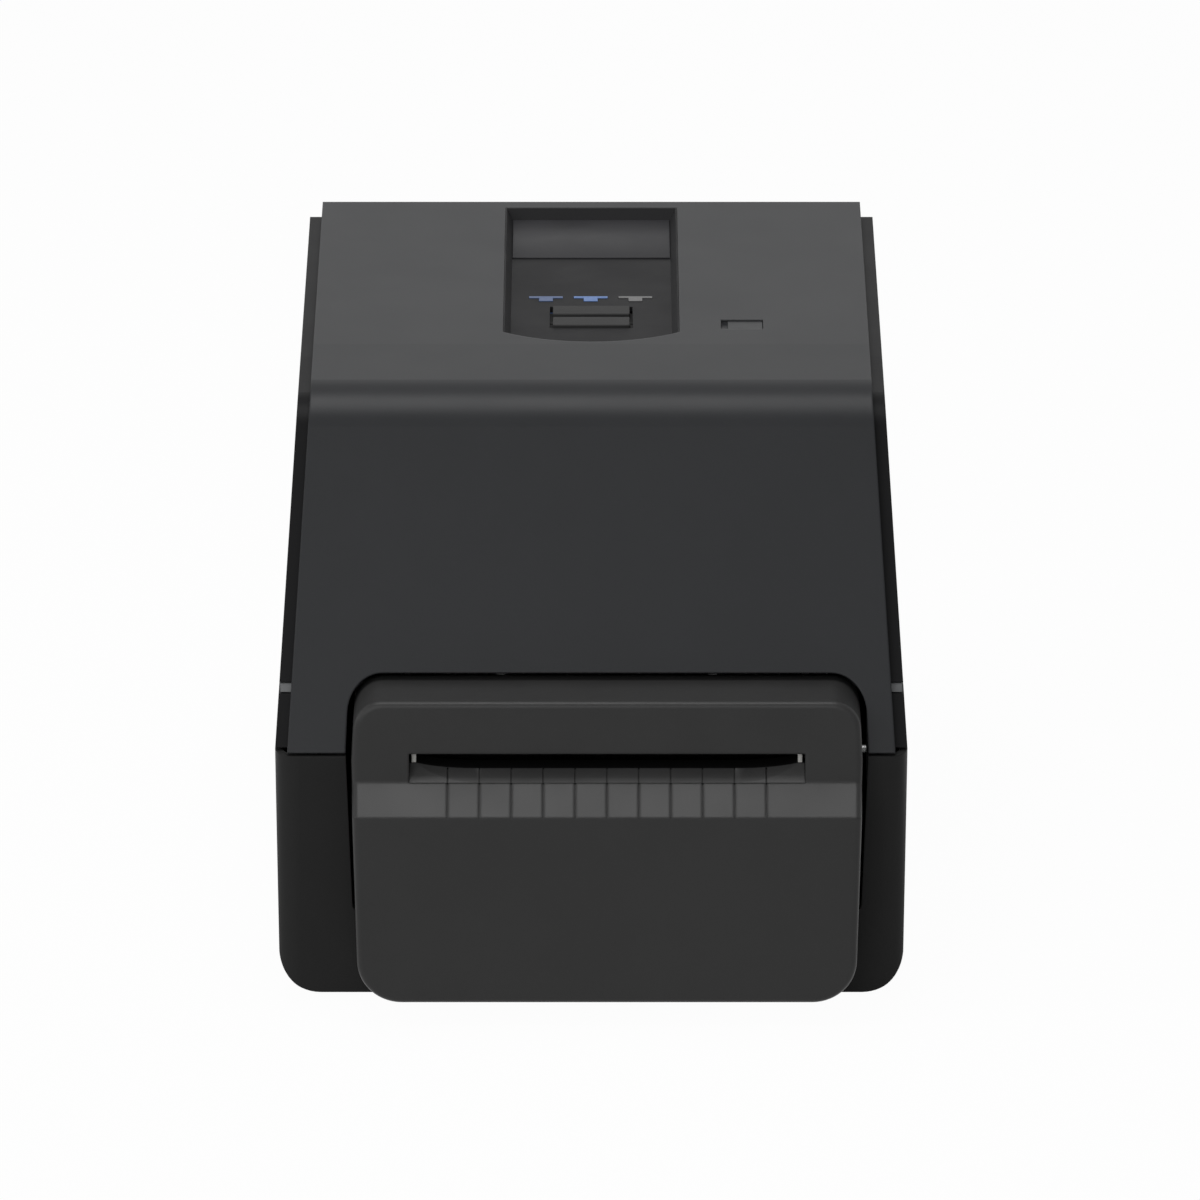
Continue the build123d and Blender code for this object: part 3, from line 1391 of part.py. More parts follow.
# Power switch: a housing through the rear wall and a rocker on two stub pins
switch_rim = 1.5
switch_depth = 16.0
rocker_width = switch_width - 2 * switch_rim - 2 * clear
rocker_axis_y = rear_y - 7.0
rocker_barrel_radius = 3.5
rocker_end_inset = 1.6
rocker_dish = 1.0
rocker_end_slope = 0.6
rocker_pin_radius = 1.2
rocker_half_height = switch_height_rear / 2 - switch_rim - 2 * clear
with BuildPart() as power_switch:
    half = switch_width / 2
    half_tall = switch_height_rear / 2
    x = (switch_x - half, switch_x + half)
    block(x, (rear_y - switch_depth, rear_y), (switch_z - half_tall, switch_z + half_tall))
    x = (x[0] + switch_rim, x[1] - switch_rim)
    hollow_z = (switch_z - half_tall + switch_rim, switch_z + half_tall - switch_rim)
    block(x, (rear_y - switch_depth + switch_rim, far), hollow_z, Mode.SUBTRACT)
    rod_x((x[0], x[0] + clear + 1), rocker_axis_y, switch_z, rocker_pin_radius)
    rod_x((x[1] - clear - 1, x[1]), rocker_axis_y, switch_z, rocker_pin_radius)
write(power_switch, "power_switch")

with BuildPart() as power_rocker:
    half = rocker_width / 2
    x = (switch_x - half, switch_x + half)
    rod_x(x, rocker_axis_y, switch_z, rocker_barrel_radius)
    plate_x(
        x,
        [
            (rocker_axis_y, switch_z - rocker_half_height),
            (rocker_axis_y, switch_z + rocker_half_height),
            (rear_y - rocker_end_inset, switch_z + rocker_half_height - rocker_end_slope),
            (rear_y - rocker_end_inset - rocker_dish, switch_z),
            (rear_y - rocker_end_inset, switch_z - rocker_half_height + rocker_end_slope),
        ],
    )
    rod_x(x, rocker_axis_y, switch_z, rocker_pin_radius + slip, Mode.SUBTRACT)
write(power_rocker, "power_rocker")
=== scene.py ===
"""Dressed model of a desktop thermal transfer printer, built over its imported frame."""

import json
import logging
import math
from dataclasses import dataclass
from enum import Enum
from typing import Any, Iterable

import bmesh
import bpy
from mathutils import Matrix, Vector

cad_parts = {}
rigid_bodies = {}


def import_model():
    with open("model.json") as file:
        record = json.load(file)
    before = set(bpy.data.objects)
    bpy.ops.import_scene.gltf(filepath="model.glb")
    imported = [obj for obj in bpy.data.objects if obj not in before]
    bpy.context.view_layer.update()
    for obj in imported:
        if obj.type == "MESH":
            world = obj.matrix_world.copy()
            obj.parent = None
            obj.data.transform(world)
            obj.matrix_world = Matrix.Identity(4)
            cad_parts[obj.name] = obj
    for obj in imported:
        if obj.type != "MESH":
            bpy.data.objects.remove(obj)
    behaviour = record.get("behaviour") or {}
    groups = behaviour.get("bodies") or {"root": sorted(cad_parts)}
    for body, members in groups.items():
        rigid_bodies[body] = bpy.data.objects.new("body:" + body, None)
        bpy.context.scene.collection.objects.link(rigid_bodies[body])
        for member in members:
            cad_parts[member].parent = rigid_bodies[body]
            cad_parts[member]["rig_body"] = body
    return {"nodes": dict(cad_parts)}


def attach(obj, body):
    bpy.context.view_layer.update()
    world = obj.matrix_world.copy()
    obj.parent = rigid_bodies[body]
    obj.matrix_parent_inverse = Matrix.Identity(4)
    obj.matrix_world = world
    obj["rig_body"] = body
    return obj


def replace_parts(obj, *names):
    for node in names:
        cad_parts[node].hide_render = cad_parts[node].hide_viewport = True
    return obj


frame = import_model()

log = logging.getLogger("printer")
Colour = tuple[float, float, float]
Triple = tuple[float, float, float]
Range = tuple[float, float]
Socket = bpy.types.NodeSocket
MM = 0.001
WHITE = (1.0, 1.0, 1.0)
# Colour of the painted shade where a surface runs into the machine
PAINTED_SHADE_BLACK = (0.0006, 0.0006, 0.0006)
LAMP_TARGET = (0.0, 0.0, 0.1)

# What starts the key of a socket that is named by its number
NUMBERED = "socket_"

# Waves in a metre of a finish's broad clouds and of its finest lines, and how far its mottle goes
CLOUD_WAVES = 38.0
FINE_WAVES = 900.0
CONTRAST = 1.6

# Distance within which points are one, and angles of a flat face, of a rounded edge and of a crease
WELD = 1e-6
FLAT_ANGLE = math.radians(0.4)
ROUNDED_ANGLE = math.radians(25.0)
CREASE_ANGLE = math.radians(32.0)


def srgb(red: float, green: float, blue: float) -> Colour:
    """Turn display values into linear light.

    Args:
        red: Red, from 0 to 255.
        green: Green, from 0 to 255.
        blue: Blue, from 0 to 255.

    Returns:
        The linear colour.
    """

    def linear(value: float) -> float:
        """Turn one channel into linear light."""
        share = value / 255
        return share / 12.92 if share <= 0.04045 else ((share + 0.055) / 1.055) ** 2.4

    return (linear(red), linear(green), linear(blue))


class NodeWork:
    """What shader trees and Geometry Nodes trees share: one method that adds any node."""

    def __init__(self, tree: bpy.types.NodeTree) -> None:
        """Take a tree to work on.

        Args:
            tree: The node tree.
        """
        self.tree = tree

    def node(self, kind: str, settings: dict[str, Any] | None = None, **values: Any) -> bpy.types.Node:
        """Add a node, set its properties first, and then its sockets.

        Args:
            kind: Blender's node type.
            settings: Values for the node's own properties.
            **values: Socket values or links by socket name, with spaces as underscores,
                or "socket_" and a number where names repeat.

        Returns:
            The new node.
        """
        added = self.tree.nodes.new(kind)
        for key, value in (settings or {}).items():
            setattr(added, key, value)
        for key, value in values.items():
            place = int(key.removeprefix(NUMBERED)) if key.startswith(NUMBERED) else key.replace("_", " ")
            self.feed(added.inputs[place], value)
        return added

    def feed(self, socket: Socket, value: Any) -> None:
        """Set or link one input socket.

        Args:
            socket: The socket that takes the value.
            value: An output, a wrapped output, a list of outputs that all go in, or a plain value.
        """
        if isinstance(value, list):
            for item in value:
                self.feed(socket, item)
        elif isinstance(value, Signal):
            self.tree.links.new(value.socket, socket)
        elif isinstance(value, Socket):
            self.tree.links.new(value, socket)
        elif isinstance(value, tuple) and socket.type == "RGBA":
            socket.default_value = (*value[:3], 1.0)
        else:
            socket.default_value = value


class Graph(NodeWork):
    """Shader nodes of one material or of the world."""

    def __init__(self, owner: bpy.types.Material | bpy.types.World) -> None:
        """Start with an empty tree.

        Args:
            owner: The material or world that the nodes belong to.
        """
        owner.use_nodes = True
        super().__init__(owner.node_tree)
        self.tree.nodes.clear()

    def signal(self, node: bpy.types.Node, output: str | int = 0) -> "Signal":
        """Wrap one output of a node."""
        return Signal(self, node.outputs[output])

    def place(self) -> "Signal":
        """Object coordinates, in metres."""
        return self.signal(self.node("ShaderNodeTexCoord"), "Object")

    def along(self, axis: str) -> "Signal":
        """One of the Object coordinates, named by its axis."""
        return self.signal(self.node("ShaderNodeSeparateXYZ", Vector=self.place()), axis)

    def noise(
        self, scale: float, detail: float = 2.0, rough: float = 0.5, at: "Signal | None" = None
    ) -> "Signal":
        """Noise between 0 and 1.

        Args:
            scale: Waves in a metre.
            detail: Octaves.
            rough: Share that each octave keeps.
            at: Coordinates, or None for Object coordinates.

        Returns:
            The noise value.
        """
        made = self.node(
            "ShaderNodeTexNoise", Vector=at or self.place(), Scale=scale, Detail=detail, Roughness=rough
        )
        return self.signal(made, "Factor" if "Factor" in made.outputs else "Fac")

    def cells(self, scale: float) -> "Signal":
        """Distance to the nearest of many random points."""
        return self.signal(self.node("ShaderNodeTexVoronoi", Vector=self.place(), Scale=scale), "Distance")

    def stretch(self, scale: Triple) -> "Signal":
        """Object coordinates scaled by a factor on each axis."""
        return self.signal(self.node("ShaderNodeMapping", Vector=self.place(), Scale=scale))

    def blend(self, share: "Signal", low: "Colour | Signal", high: "Colour | Signal") -> "Signal":
        """Mix two colours.

        Args:
            share: 0 gives the first colour and 1 the second.
            low: First colour.
            high: Second colour.

        Returns:
            The mixed colour.
        """
        made = self.node("ShaderNodeMix", {"data_type": "RGBA"}, socket_0=share, socket_6=low, socket_7=high)
        return self.signal(made, 2)


@dataclass
class Signal:
    """Output socket that can be used in sums like a number."""

    graph: Graph
    socket: Socket

    def join(self, operation: str, other: "Signal | float") -> "Signal":
        """Apply a Math node.

        Args:
            operation: The Math node's operation.
            other: The other operand.

        Returns:
            The result.
        """
        made = self.graph.node("ShaderNodeMath", {"operation": operation}, socket_0=self, socket_1=other)
        return self.graph.signal(made)

    def __add__(self, other: "Signal | float") -> "Signal":
        """Add."""
        return self.join("ADD", other)

    __radd__ = __add__

    def __mul__(self, other: "Signal | float") -> "Signal":
        """Multiply."""
        return self.join("MULTIPLY", other)

    __rmul__ = __mul__

    def __sub__(self, other: "Signal | float") -> "Signal":
        """Subtract."""
        return self.join("SUBTRACT", other)

    def __rsub__(self, other: float) -> "Signal":
        """Subtract from a number."""
        return self * -1.0 + other

    def ramp(self, low: float, high: float, first: float = 0.0, last: float = 1.0) -> "Signal":
        """Map a range smoothly to another.

        Args:
            low: Input that gives the first value.
            high: Input that gives the last value.
            first: Result at and below the low end.
            last: Result at and above the high end.

        Returns:
            The mapped value.
        """
        made = self.graph.node(
            "ShaderNodeMapRange",
            {"interpolation_type": "SMOOTHSTEP"},
            Value=self,
            From_Min=low,
            From_Max=high,
            To_Min=first,
            To_Max=last,
        )
        return self.graph.signal(made)


@dataclass(frozen=True)
class Surface:
    """Any surface of the scene, which is one material."""

    name: str

    def material(self) -> bpy.types.Material:
        """Build the material once and return it.

        Returns:
            The material.
        """
        title = f"{self.name}_finish"
        known = bpy.data.materials.get(title)
        if known:
            return known
        made = bpy.data.materials.new(title)
        graph = Graph(made)
        graph.node("ShaderNodeOutputMaterial", Surface=graph.signal(self.shader(graph)))
        return made

    def shader(self, graph: Graph) -> bpy.types.Node:
        """Add the surface's nodes and return the last of them."""
        raise NotImplementedError


@dataclass(frozen=True)
class Finish(Surface):
    """A surface finish: its colour, its gloss, its grain and its unevenness.

    The brushing is a factor for each axis that says how much finer its lines are along it. The
    edge is the radius of the rounding that sharp edges seem to have. The painted shade is a range
    along Y over which a surface that runs into the machine is painted down to near black and made
    rougher, as painted shade.
    """

    colour: Colour
    roughness: float
    specular: float
    metallic: float = 0.0
    grain_size: float = 0.45 * MM
    grain_depth: float = 0.012 * MM
    mottle: float = 0.06
    smudge: float = 0.06
    brush: Triple | None = None
    edge: float = 0.0
    painted_shade: Range | None = None

    def shader(self, graph: Graph) -> bpy.types.Node:
        """Add the finish's nodes.

        Args:
            graph: The material's nodes.

        Returns:
            The shader node.
        """
        cloud = graph.noise(CLOUD_WAVES, 3.0, 0.55)
        grain = self.grain(graph)
        spread = CONTRAST * self.mottle
        darker = tuple(channel * (1 - spread) for channel in self.colour)
        lighter = tuple(channel * (1 + spread) for channel in self.colour)
        tone = cloud.ramp(0.32, 0.68) * 0.6 + grain.ramp(0.2, 0.8) * 0.4
        colour = graph.blend(tone, darker, lighter)
        gloss = cloud.ramp(0.25, 0.75, self.roughness - self.smudge, self.roughness + self.smudge)
        gloss = gloss + (grain - 0.5) * (0.5 * self.smudge)
        # Painted shade: over the range along Y the colour is painted near black and the surface made rougher,
        # standing in for the shade inside the machine
        if self.painted_shade:
            depth = graph.along("Y").ramp(*self.painted_shade)
            colour = graph.blend(depth, colour, PAINTED_SHADE_BLACK)
            gloss = gloss + depth * 0.5
        bump = graph.node("ShaderNodeBump", Strength=1.0, Distance=self.grain_depth, Height=grain)
        if self.edge:
            softened = graph.node("ShaderNodeBevel", {"samples": 6}, Radius=self.edge)
            graph.feed(bump.inputs["Normal"], graph.signal(softened))
        return graph.node(
            "ShaderNodeBsdfPrincipled",
            Base_Color=colour,
            Roughness=gloss,
            Metallic=self.metallic,
            Specular_IOR_Level=self.specular,
            Normal=graph.signal(bump),
        )

    def grain(self, graph: Graph) -> Signal:
        """Make the fine pattern of the surface: brushed lines or moulded texture.

        Args:
            graph: The material's nodes.

        Returns:
            Its height, between 0 and 1.
        """
        if self.brush:
            return graph.noise(FINE_WAVES, 3.0, 0.6, graph.stretch(self.brush))
        waves = 1 / self.grain_size
        return graph.cells(waves).ramp(0.0, 0.75) * 0.7 + graph.noise(waves * 0.7, 1.0, 0.5) * 0.3


@dataclass(frozen=True)
class MetalFinish(Finish):
    """A bare metal surface."""

    specular: float = 0.5
    metallic: float = 1.0
    grain_size: float = 0.3 * MM
    grain_depth: float = 0.001 * MM
    mottle: float = 0.03
    smudge: float = 0.05


@dataclass(frozen=True)
class Lenses(Surface):
    """The indicator lenses: two are lit and the right one is off, told apart by their place."""

    name: str = "indicator_lenses"
    dim: Colour = srgb(70, 88, 124)
    bright: Colour = srgb(86, 116, 168)
    off: Colour = srgb(112, 112, 112)
    second_x: Range = (-9.0 * MM, -7.0 * MM)
    third_x: Range = (6.0 * MM, 8.0 * MM)
    roughness: Range = (0.28, 0.4)
    specular: float = 0.3
    glow: float = 0.25

    def shader(self, graph: Graph) -> bpy.types.Node:
        """Add the lenses' nodes.

        Args:
            graph: The material's nodes.

        Returns:
            The shader node.
        """
        across = graph.along("X")
        unlit = across.ramp(*self.third_x)
        colour = graph.blend(unlit, graph.blend(across.ramp(*self.second_x), self.dim, self.bright), self.off)
        return graph.node(
            "ShaderNodeBsdfPrincipled",
            Base_Color=colour,
            Roughness=graph.noise(FINE_WAVES).ramp(0.3, 0.7, *self.roughness),
            Specular_IOR_Level=self.specular,
            Emission_Color=graph.blend(unlit, colour, (0.0, 0.0, 0.0)),
            Emission_Strength=self.glow,
        )


@dataclass(frozen=True)
class Paper(Surface):
    """The floor, which shows as white to the camera and in reflections and still keeps a shadow."""

    name: str = "floor_paper"
    tones: tuple[Colour, Colour] = (srgb(236, 236, 236), srgb(240, 240, 240))
    waves: float = 40.0
    white: float = 0.97

    def shader(self, graph: Graph) -> bpy.types.Node:
        """Add the paper's nodes.

        Args:
            graph: The material's nodes.

        Returns:
            The shader node.
        """
        rays = graph.node("ShaderNodeLightPath")
        shown = graph.signal(rays, "Is Camera Ray") + graph.signal(rays, "Is Glossy Ray")
        shown = (shown + graph.signal(rays, "Is Transmission Ray")).join("MINIMUM", 1.0)
        tone = graph.blend(graph.noise(self.waves, 4.0), *self.tones)
        matt = graph.node("ShaderNodeBsdfDiffuse", Color=tone)
        glow = graph.node("ShaderNodeEmission", Color=WHITE, Strength=1.0)
        return graph.node(
            "ShaderNodeMixShader",
            socket_0=shown * self.white,
            socket_1=graph.signal(matt),
            socket_2=graph.signal(glow),
        )


class Plastic(Enum):
    """Finishes of the moulded pieces."""

    COVER = Finish("cover_plastic", srgb(43, 44, 46), 0.36, 0.16, mottle=0.02, smudge=0.015, edge=0.9 * MM)
    CHEEK = Finish("cheek_plastic", srgb(27, 27, 28), 0.4, 0.06, mottle=0.025, smudge=0.02, edge=0.4 * MM)
    CASE = Finish("case_plastic", srgb(44, 44, 44), 0.42, 0.05, mottle=0.025, smudge=0.02, edge=0.5 * MM)
    MODULE = Finish("module_plastic", srgb(50, 50, 50), 0.33, 0.19, mottle=0.03, smudge=0.03, edge=1.2 * MM)
    # Lip: colour painted lighter than the module's plastic as painted light on the shaded ramp, and painted
    # near black behind the lip as painted shade in the slot
    LIP_PAINTED_LIGHT_AND_SHADE = Finish("lip_painted_light_and_shade", srgb(84, 84, 84), 0.4, 0.16, edge=0.3 * MM, painted_shade=(-124.9 * MM, -124.3 * MM))
    TRAY = Finish("tray_plastic", srgb(44, 44, 45), 0.48, 0.05, grain_size=0.3 * MM, edge=0.3 * MM)
    PLATE = Finish("plate_plastic", srgb(58, 58, 60), 0.42, 0.1, grain_size=0.25 * MM, grain_depth=0.005 * MM)
    RELEASE = Finish("release_plastic", srgb(105, 106, 107), 0.5, 0.25)
    KEY = Finish("key_rubber", srgb(52, 52, 52), 0.55, 0.15, grain_size=0.25 * MM)
    INNER = Finish("inner_plastic", srgb(48, 48, 50), 0.5, 0.3, grain_depth=0.006 * MM)
    SOCKET = Finish("socket_plastic", srgb(28, 28, 29), 0.4, 0.4, grain_size=0.3 * MM)
    SPINDLE = Finish("spindle_plastic", srgb(150, 154, 148), 0.42, 0.4, grain_depth=0.004 * MM)
    GEAR = Finish("gear_plastic", srgb(222, 219, 208), 0.38, 0.4, grain_depth=0.003 * MM)
    HOLDER = Finish("holder_plastic", srgb(92, 122, 96), 0.42, 0.4, grain_depth=0.005 * MM)
    GUIDE = Finish("guide_plastic", srgb(228, 227, 222), 0.4, 0.4, grain_depth=0.003 * MM)
    ROCKER = Finish("rocker_plastic", srgb(24, 24, 25), 0.25, 0.5, grain_depth=0.002 * MM)
    SENSOR = Finish("sensor_plastic", srgb(30, 30, 32), 0.35, 0.5, grain_depth=0.003 * MM)


class Metal(Enum):
    """Finishes of the metal pieces."""

    SHEET = MetalFinish(
        "sheet_steel",
        srgb(176, 176, 172),
        0.38,
        grain_depth=0.002 * MM,
        mottle=0.04,
        smudge=0.08,
        brush=(1.0, 1.0, 9.0),
    )
    SHAFT = MetalFinish("shaft_steel", srgb(190, 190, 190), 0.24, brush=(14.0, 1.0, 1.0))
    MOTOR = MetalFinish(
        "motor_steel",
        srgb(150, 150, 150),
        0.4,
        grain_depth=0.003 * MM,
        mottle=0.05,
        smudge=0.08,
        brush=(9.0, 1.0, 1.0),
    )
    HEAD = MetalFinish(
        "head_metal",
        srgb(170, 171, 173),
        0.45,
        grain_size=0.35 * MM,
        grain_depth=0.004 * MM,
        mottle=0.05,
        smudge=0.08,
    )
    WIRE = MetalFinish("spring_wire", srgb(165, 165, 165), 0.3, mottle=0.04)
    SCREW = MetalFinish("screw_steel", srgb(196, 194, 186), 0.32, mottle=0.04, smudge=0.06)
    # Blade steel painted dark as painted shade, so that the cutter seen through the slot reads black
    BLADE_PAINTED_SHADE = MetalFinish("blade_steel", srgb(52, 52, 54), 0.2, smudge=0.04, brush=(1.0, 1.0, 12.0))
    SOCKET = MetalFinish("socket_metal", srgb(172, 172, 172), 0.34, brush=(8.0, 1.0, 1.0))
    CONTACT = MetalFinish("contact_gold", srgb(212, 178, 96), 0.25, grain_size=0.2 * MM)


class Soft(Enum):
    """Finishes of the coated badge, the rubber pieces and the boards."""

    BADGE = Finish(
        "badge_metal",
        srgb(44, 45, 47),
        0.42,
        0.3,
        grain_depth=0.004 * MM,
        mottle=0.05,
        brush=(1.0, 12.0, 1.0),
    )
    PLATEN = Finish(
        "platen_rubber",
        srgb(46, 46, 48),
        0.7,
        0.3,
        grain_depth=0.01 * MM,
        mottle=0.05,
        smudge=0.05,
        brush=(30.0, 1.0, 1.0),
    )
    FOOT = Finish("foot_rubber", srgb(34, 34, 34), 0.75, 0.25, grain_size=0.5 * MM, grain_depth=0.02 * MM)
    BOARD = Finish(
        "board_green", srgb(28, 82, 48), 0.35, 0.5, grain_size=0.6 * MM, grain_depth=0.004 * MM, mottle=0.1
    )


class Shell:
    """Mesh work shared by the sub-assemblies."""

    @staticmethod
    def dress(finish: Surface, *nodes: str) -> None:
        """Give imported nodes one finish, with their meshes left alone.

        Args:
            finish: The finish.
            *nodes: The nodes' names.
        """
        for node in nodes:
            piece = frame["nodes"][node]
            if not piece.material_slots:
                piece.data.materials.append(finish.material())
            for slot in piece.material_slots:
                slot.material = finish.material()
            log.info("%s: %s", node, finish.name)

    @staticmethod
    def rounded(finish: Surface, width: float, *nodes: str, segments: int = 2) -> None:
        """Put a copy with rounded edges in the place of each of some nodes, in one finish.

        Args:
            finish: The finish.
            width: Width of the rounding, in metres.
            *nodes: The nodes' names.
            segments: Facets across the rounding.
        """
        for node in nodes:
            source = frame["nodes"][node]
            mesh = source.data.copy()
            mesh.name = f"{node}_skin"
            shape = bmesh.new()
            shape.from_mesh(mesh)
            bmesh.ops.remove_doubles(shape, verts=shape.verts, dist=WELD)
            bmesh.ops.dissolve_limit(
                shape, angle_limit=FLAT_ANGLE, verts=shape.verts, edges=shape.edges, delimit={"MATERIAL"}
            )
            shape.to_mesh(mesh)
            shape.free()
            piece = Shell.placed(mesh.name, mesh)
            bevel = piece.modifiers.new("edge", "BEVEL")
            bevel.width = width
            bevel.segments = segments
            bevel.limit_method = "ANGLE"
            bevel.angle_limit = ROUNDED_ANGLE
            bevel.use_clamp_overlap = True
            bevel.miter_outer = "MITER_ARC"
            Shell.apply(piece)
            piece.data.shade_smooth()
            piece.data.set_sharp_from_angle(angle=CREASE_ANGLE)
            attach(piece, source["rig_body"])
            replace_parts(piece, node)
            piece.data.materials.clear()
            piece.data.materials.append(finish.material())
            log.info("%s: %s, with rounded edges", node, finish.name)

    @staticmethod
    def placed(name: str, data: bpy.types.ID) -> bpy.types.Object:
        """Make an object in the scene.

        Args:
            name: Its name.
            data: Its mesh, lamp or camera.

        Returns:
            The object.
        """
        piece = bpy.data.objects.new(name, data)
        bpy.context.scene.collection.objects.link(piece)
        return piece

    @staticmethod
    def apply(piece: bpy.types.Object) -> None:
        """Turn a piece and its modifiers into one plain mesh.

        Args:
            piece: The object to turn.
        """
        bpy.context.view_layer.update()
        evaluated = piece.evaluated_get(bpy.context.evaluated_depsgraph_get())
        mesh = bpy.data.meshes.new_from_object(evaluated)
        old = piece.data
        piece.modifiers.clear()
        piece.data = mesh
        if old.users == 0:
            bpy.data.meshes.remove(old)


class Repeat(NodeWork):
    """A Geometry Nodes tree that sets one small shape on every point of a mesh.

    Sizes are named inputs of the tree, so one tree serves every row that uses its shape.
    """

    def __init__(self, name: str, **sizes: float) -> None:
        """Start a tree with its geometry sockets and its sizes.

        Args:
            name: The tree's name.
            **sizes: Usual values of its named inputs, with underscores for spaces.
        """
        super().__init__(bpy.data.node_groups.new(name, "GeometryNodeTree"))
        self.tree.is_modifier = True
        for way in ("INPUT", "OUTPUT"):
            self.tree.interface.new_socket("Geometry", in_out=way, socket_type="NodeSocketGeometry")
        self.keys: dict[str, str] = {}
        for key, value in sizes.items():
            title = key.replace("_", " ").title()
            socket = self.tree.interface.new_socket(title, in_out="INPUT", socket_type="NodeSocketFloat")
            socket.default_value = value
            self.keys[key] = socket.identifier
        self.entry = self.node("NodeGroupInput")

    def size(self, key: str) -> Socket:
        """Return the socket of a named size."""
        return self.entry.outputs[key.replace("_", " ").title()]

    def share(self, key: str, share: float) -> Socket:
        """Return a share of a named size."""
        return self.node(
            "ShaderNodeMath", {"operation": "MULTIPLY"}, socket_0=self.size(key), socket_1=share
        ).outputs[0]

    def vector(self, x: Socket | float = 0.0, y: Socket | float = 0.0, z: Socket | float = 0.0) -> Socket:
        """Join three numbers or sockets into a vector."""
        return self.node("ShaderNodeCombineXYZ", X=x, Y=y, Z=z).outputs[0]

    def box(self, x: str, y: str, z: str) -> Socket:
        """Make a box from three named sizes."""
        size = self.vector(self.size(x), self.size(y), self.size(z))
        return self.node("GeometryNodeMeshCube", Size=size).outputs[0]

    def rod(self, facets: int, radius: str, depth: str) -> Socket:
        """Make a closed cylinder of a number of facets from two named sizes."""
        return self.node(
            "GeometryNodeMeshCylinder",
            {"fill_type": "NGON"},
            Vertices=facets,
            Radius=self.size(radius),
            Depth=self.size(depth),
        ).outputs[0]

    def moved(self, shape: Socket, to: Socket, turn: Triple = (0.0, 0.0, 0.0)) -> Socket:
        """Move and turn a shape in the tree."""
        return self.node("GeometryNodeTransform", Geometry=shape, Translation=to, Rotation=turn).outputs[0]

    def close(self, shape: Socket, finish: Surface) -> None:
        """Set the shape on every point, turn the copies into one mesh and give them a finish.

        Args:
            shape: The shape to repeat.
            finish: Its finish.
        """
        points = self.entry.outputs["Geometry"]
        spread = self.node("GeometryNodeInstanceOnPoints", Points=points, Instance=shape)
        solid = self.node("GeometryNodeRealizeInstances", Geometry=spread.outputs[0])
        coloured = self.node("GeometryNodeSetMaterial", Geometry=solid.outputs[0], Material=finish.material())
        self.node("NodeGroupOutput", Geometry=coloured.outputs[0])

    def row(self, name: str, points: Iterable[Triple], slot: str, **sizes: float) -> bpy.types.Object:
        """Make one plain mesh on the base, with the shape at each point.

        Args:
            name: The new piece's name.
            points: Places, in metres.
            slot: Not used.
            **sizes: Values for the tree's named inputs, with underscores for spaces.

        Returns:
            The piece.
        """
        mesh = bpy.data.meshes.new(name)
        mesh.from_pydata(list(points), [], [])
        piece = Shell.placed(name, mesh)
        modifier = piece.modifiers.new("repeat", "NODES")
        modifier.node_group = self.tree
        for key, value in sizes.items():
            modifier[self.keys[key]] = value
        Shell.apply(piece)
        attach(piece, "base")
        log.info("%s: %d faces", name, len(piece.data.polygons))
        return piece


def screw_tree() -> Repeat:
    """Build the tree of a pan head screw with a cross recess, which stands on its point.

    Returns:
        The tree.
    """
    tree = Repeat(
        "screw_repeat",
        head_radius=2.9 * MM,
        head_height=1.8 * MM,
        shank_radius=1.5 * MM,
        shank_length=1.5 * MM,
        cross_length=3.4 * MM,
        cross_width=0.8 * MM,
    )
    head = tree.moved(
        tree.rod(28, "head_radius", "head_height"), tree.vector(z=tree.share("head_height", 0.5))
    )
    bars = [
        tree.moved(
            tree.box("cross_length", "cross_width", "head_height"),
            tree.vector(z=tree.size("head_height")),
            (0.0, 0.0, turn),
        )
        for turn in (0.0, math.pi / 2)
    ]
    cut = tree.node("GeometryNodeMeshBoolean", {"operation": "DIFFERENCE"}, Mesh_1=head, Mesh_2=bars)
    shank = tree.moved(
        tree.rod(16, "shank_radius", "shank_length"), tree.vector(z=tree.share("shank_length", -0.5))
    )
    both = tree.node("GeometryNodeJoinGeometry", Geometry=[cut.outputs[0], shank])
    tree.close(both.outputs[0], Metal.SCREW.value)
    return tree


def pin_tree() -> Repeat:
    """Build the tree of a flat contact that runs forwards from its point.

    Returns:
        The tree.
    """
    tree = Repeat("pin_repeat", pin_width=0.8 * MM, pin_length=5.0 * MM, pin_height=0.8 * MM)
    bar = tree.box("pin_width", "pin_length", "pin_height")
    tree.close(tree.moved(bar, tree.vector(y=tree.share("pin_length", -0.5))), Metal.CONTACT.value)
    return tree


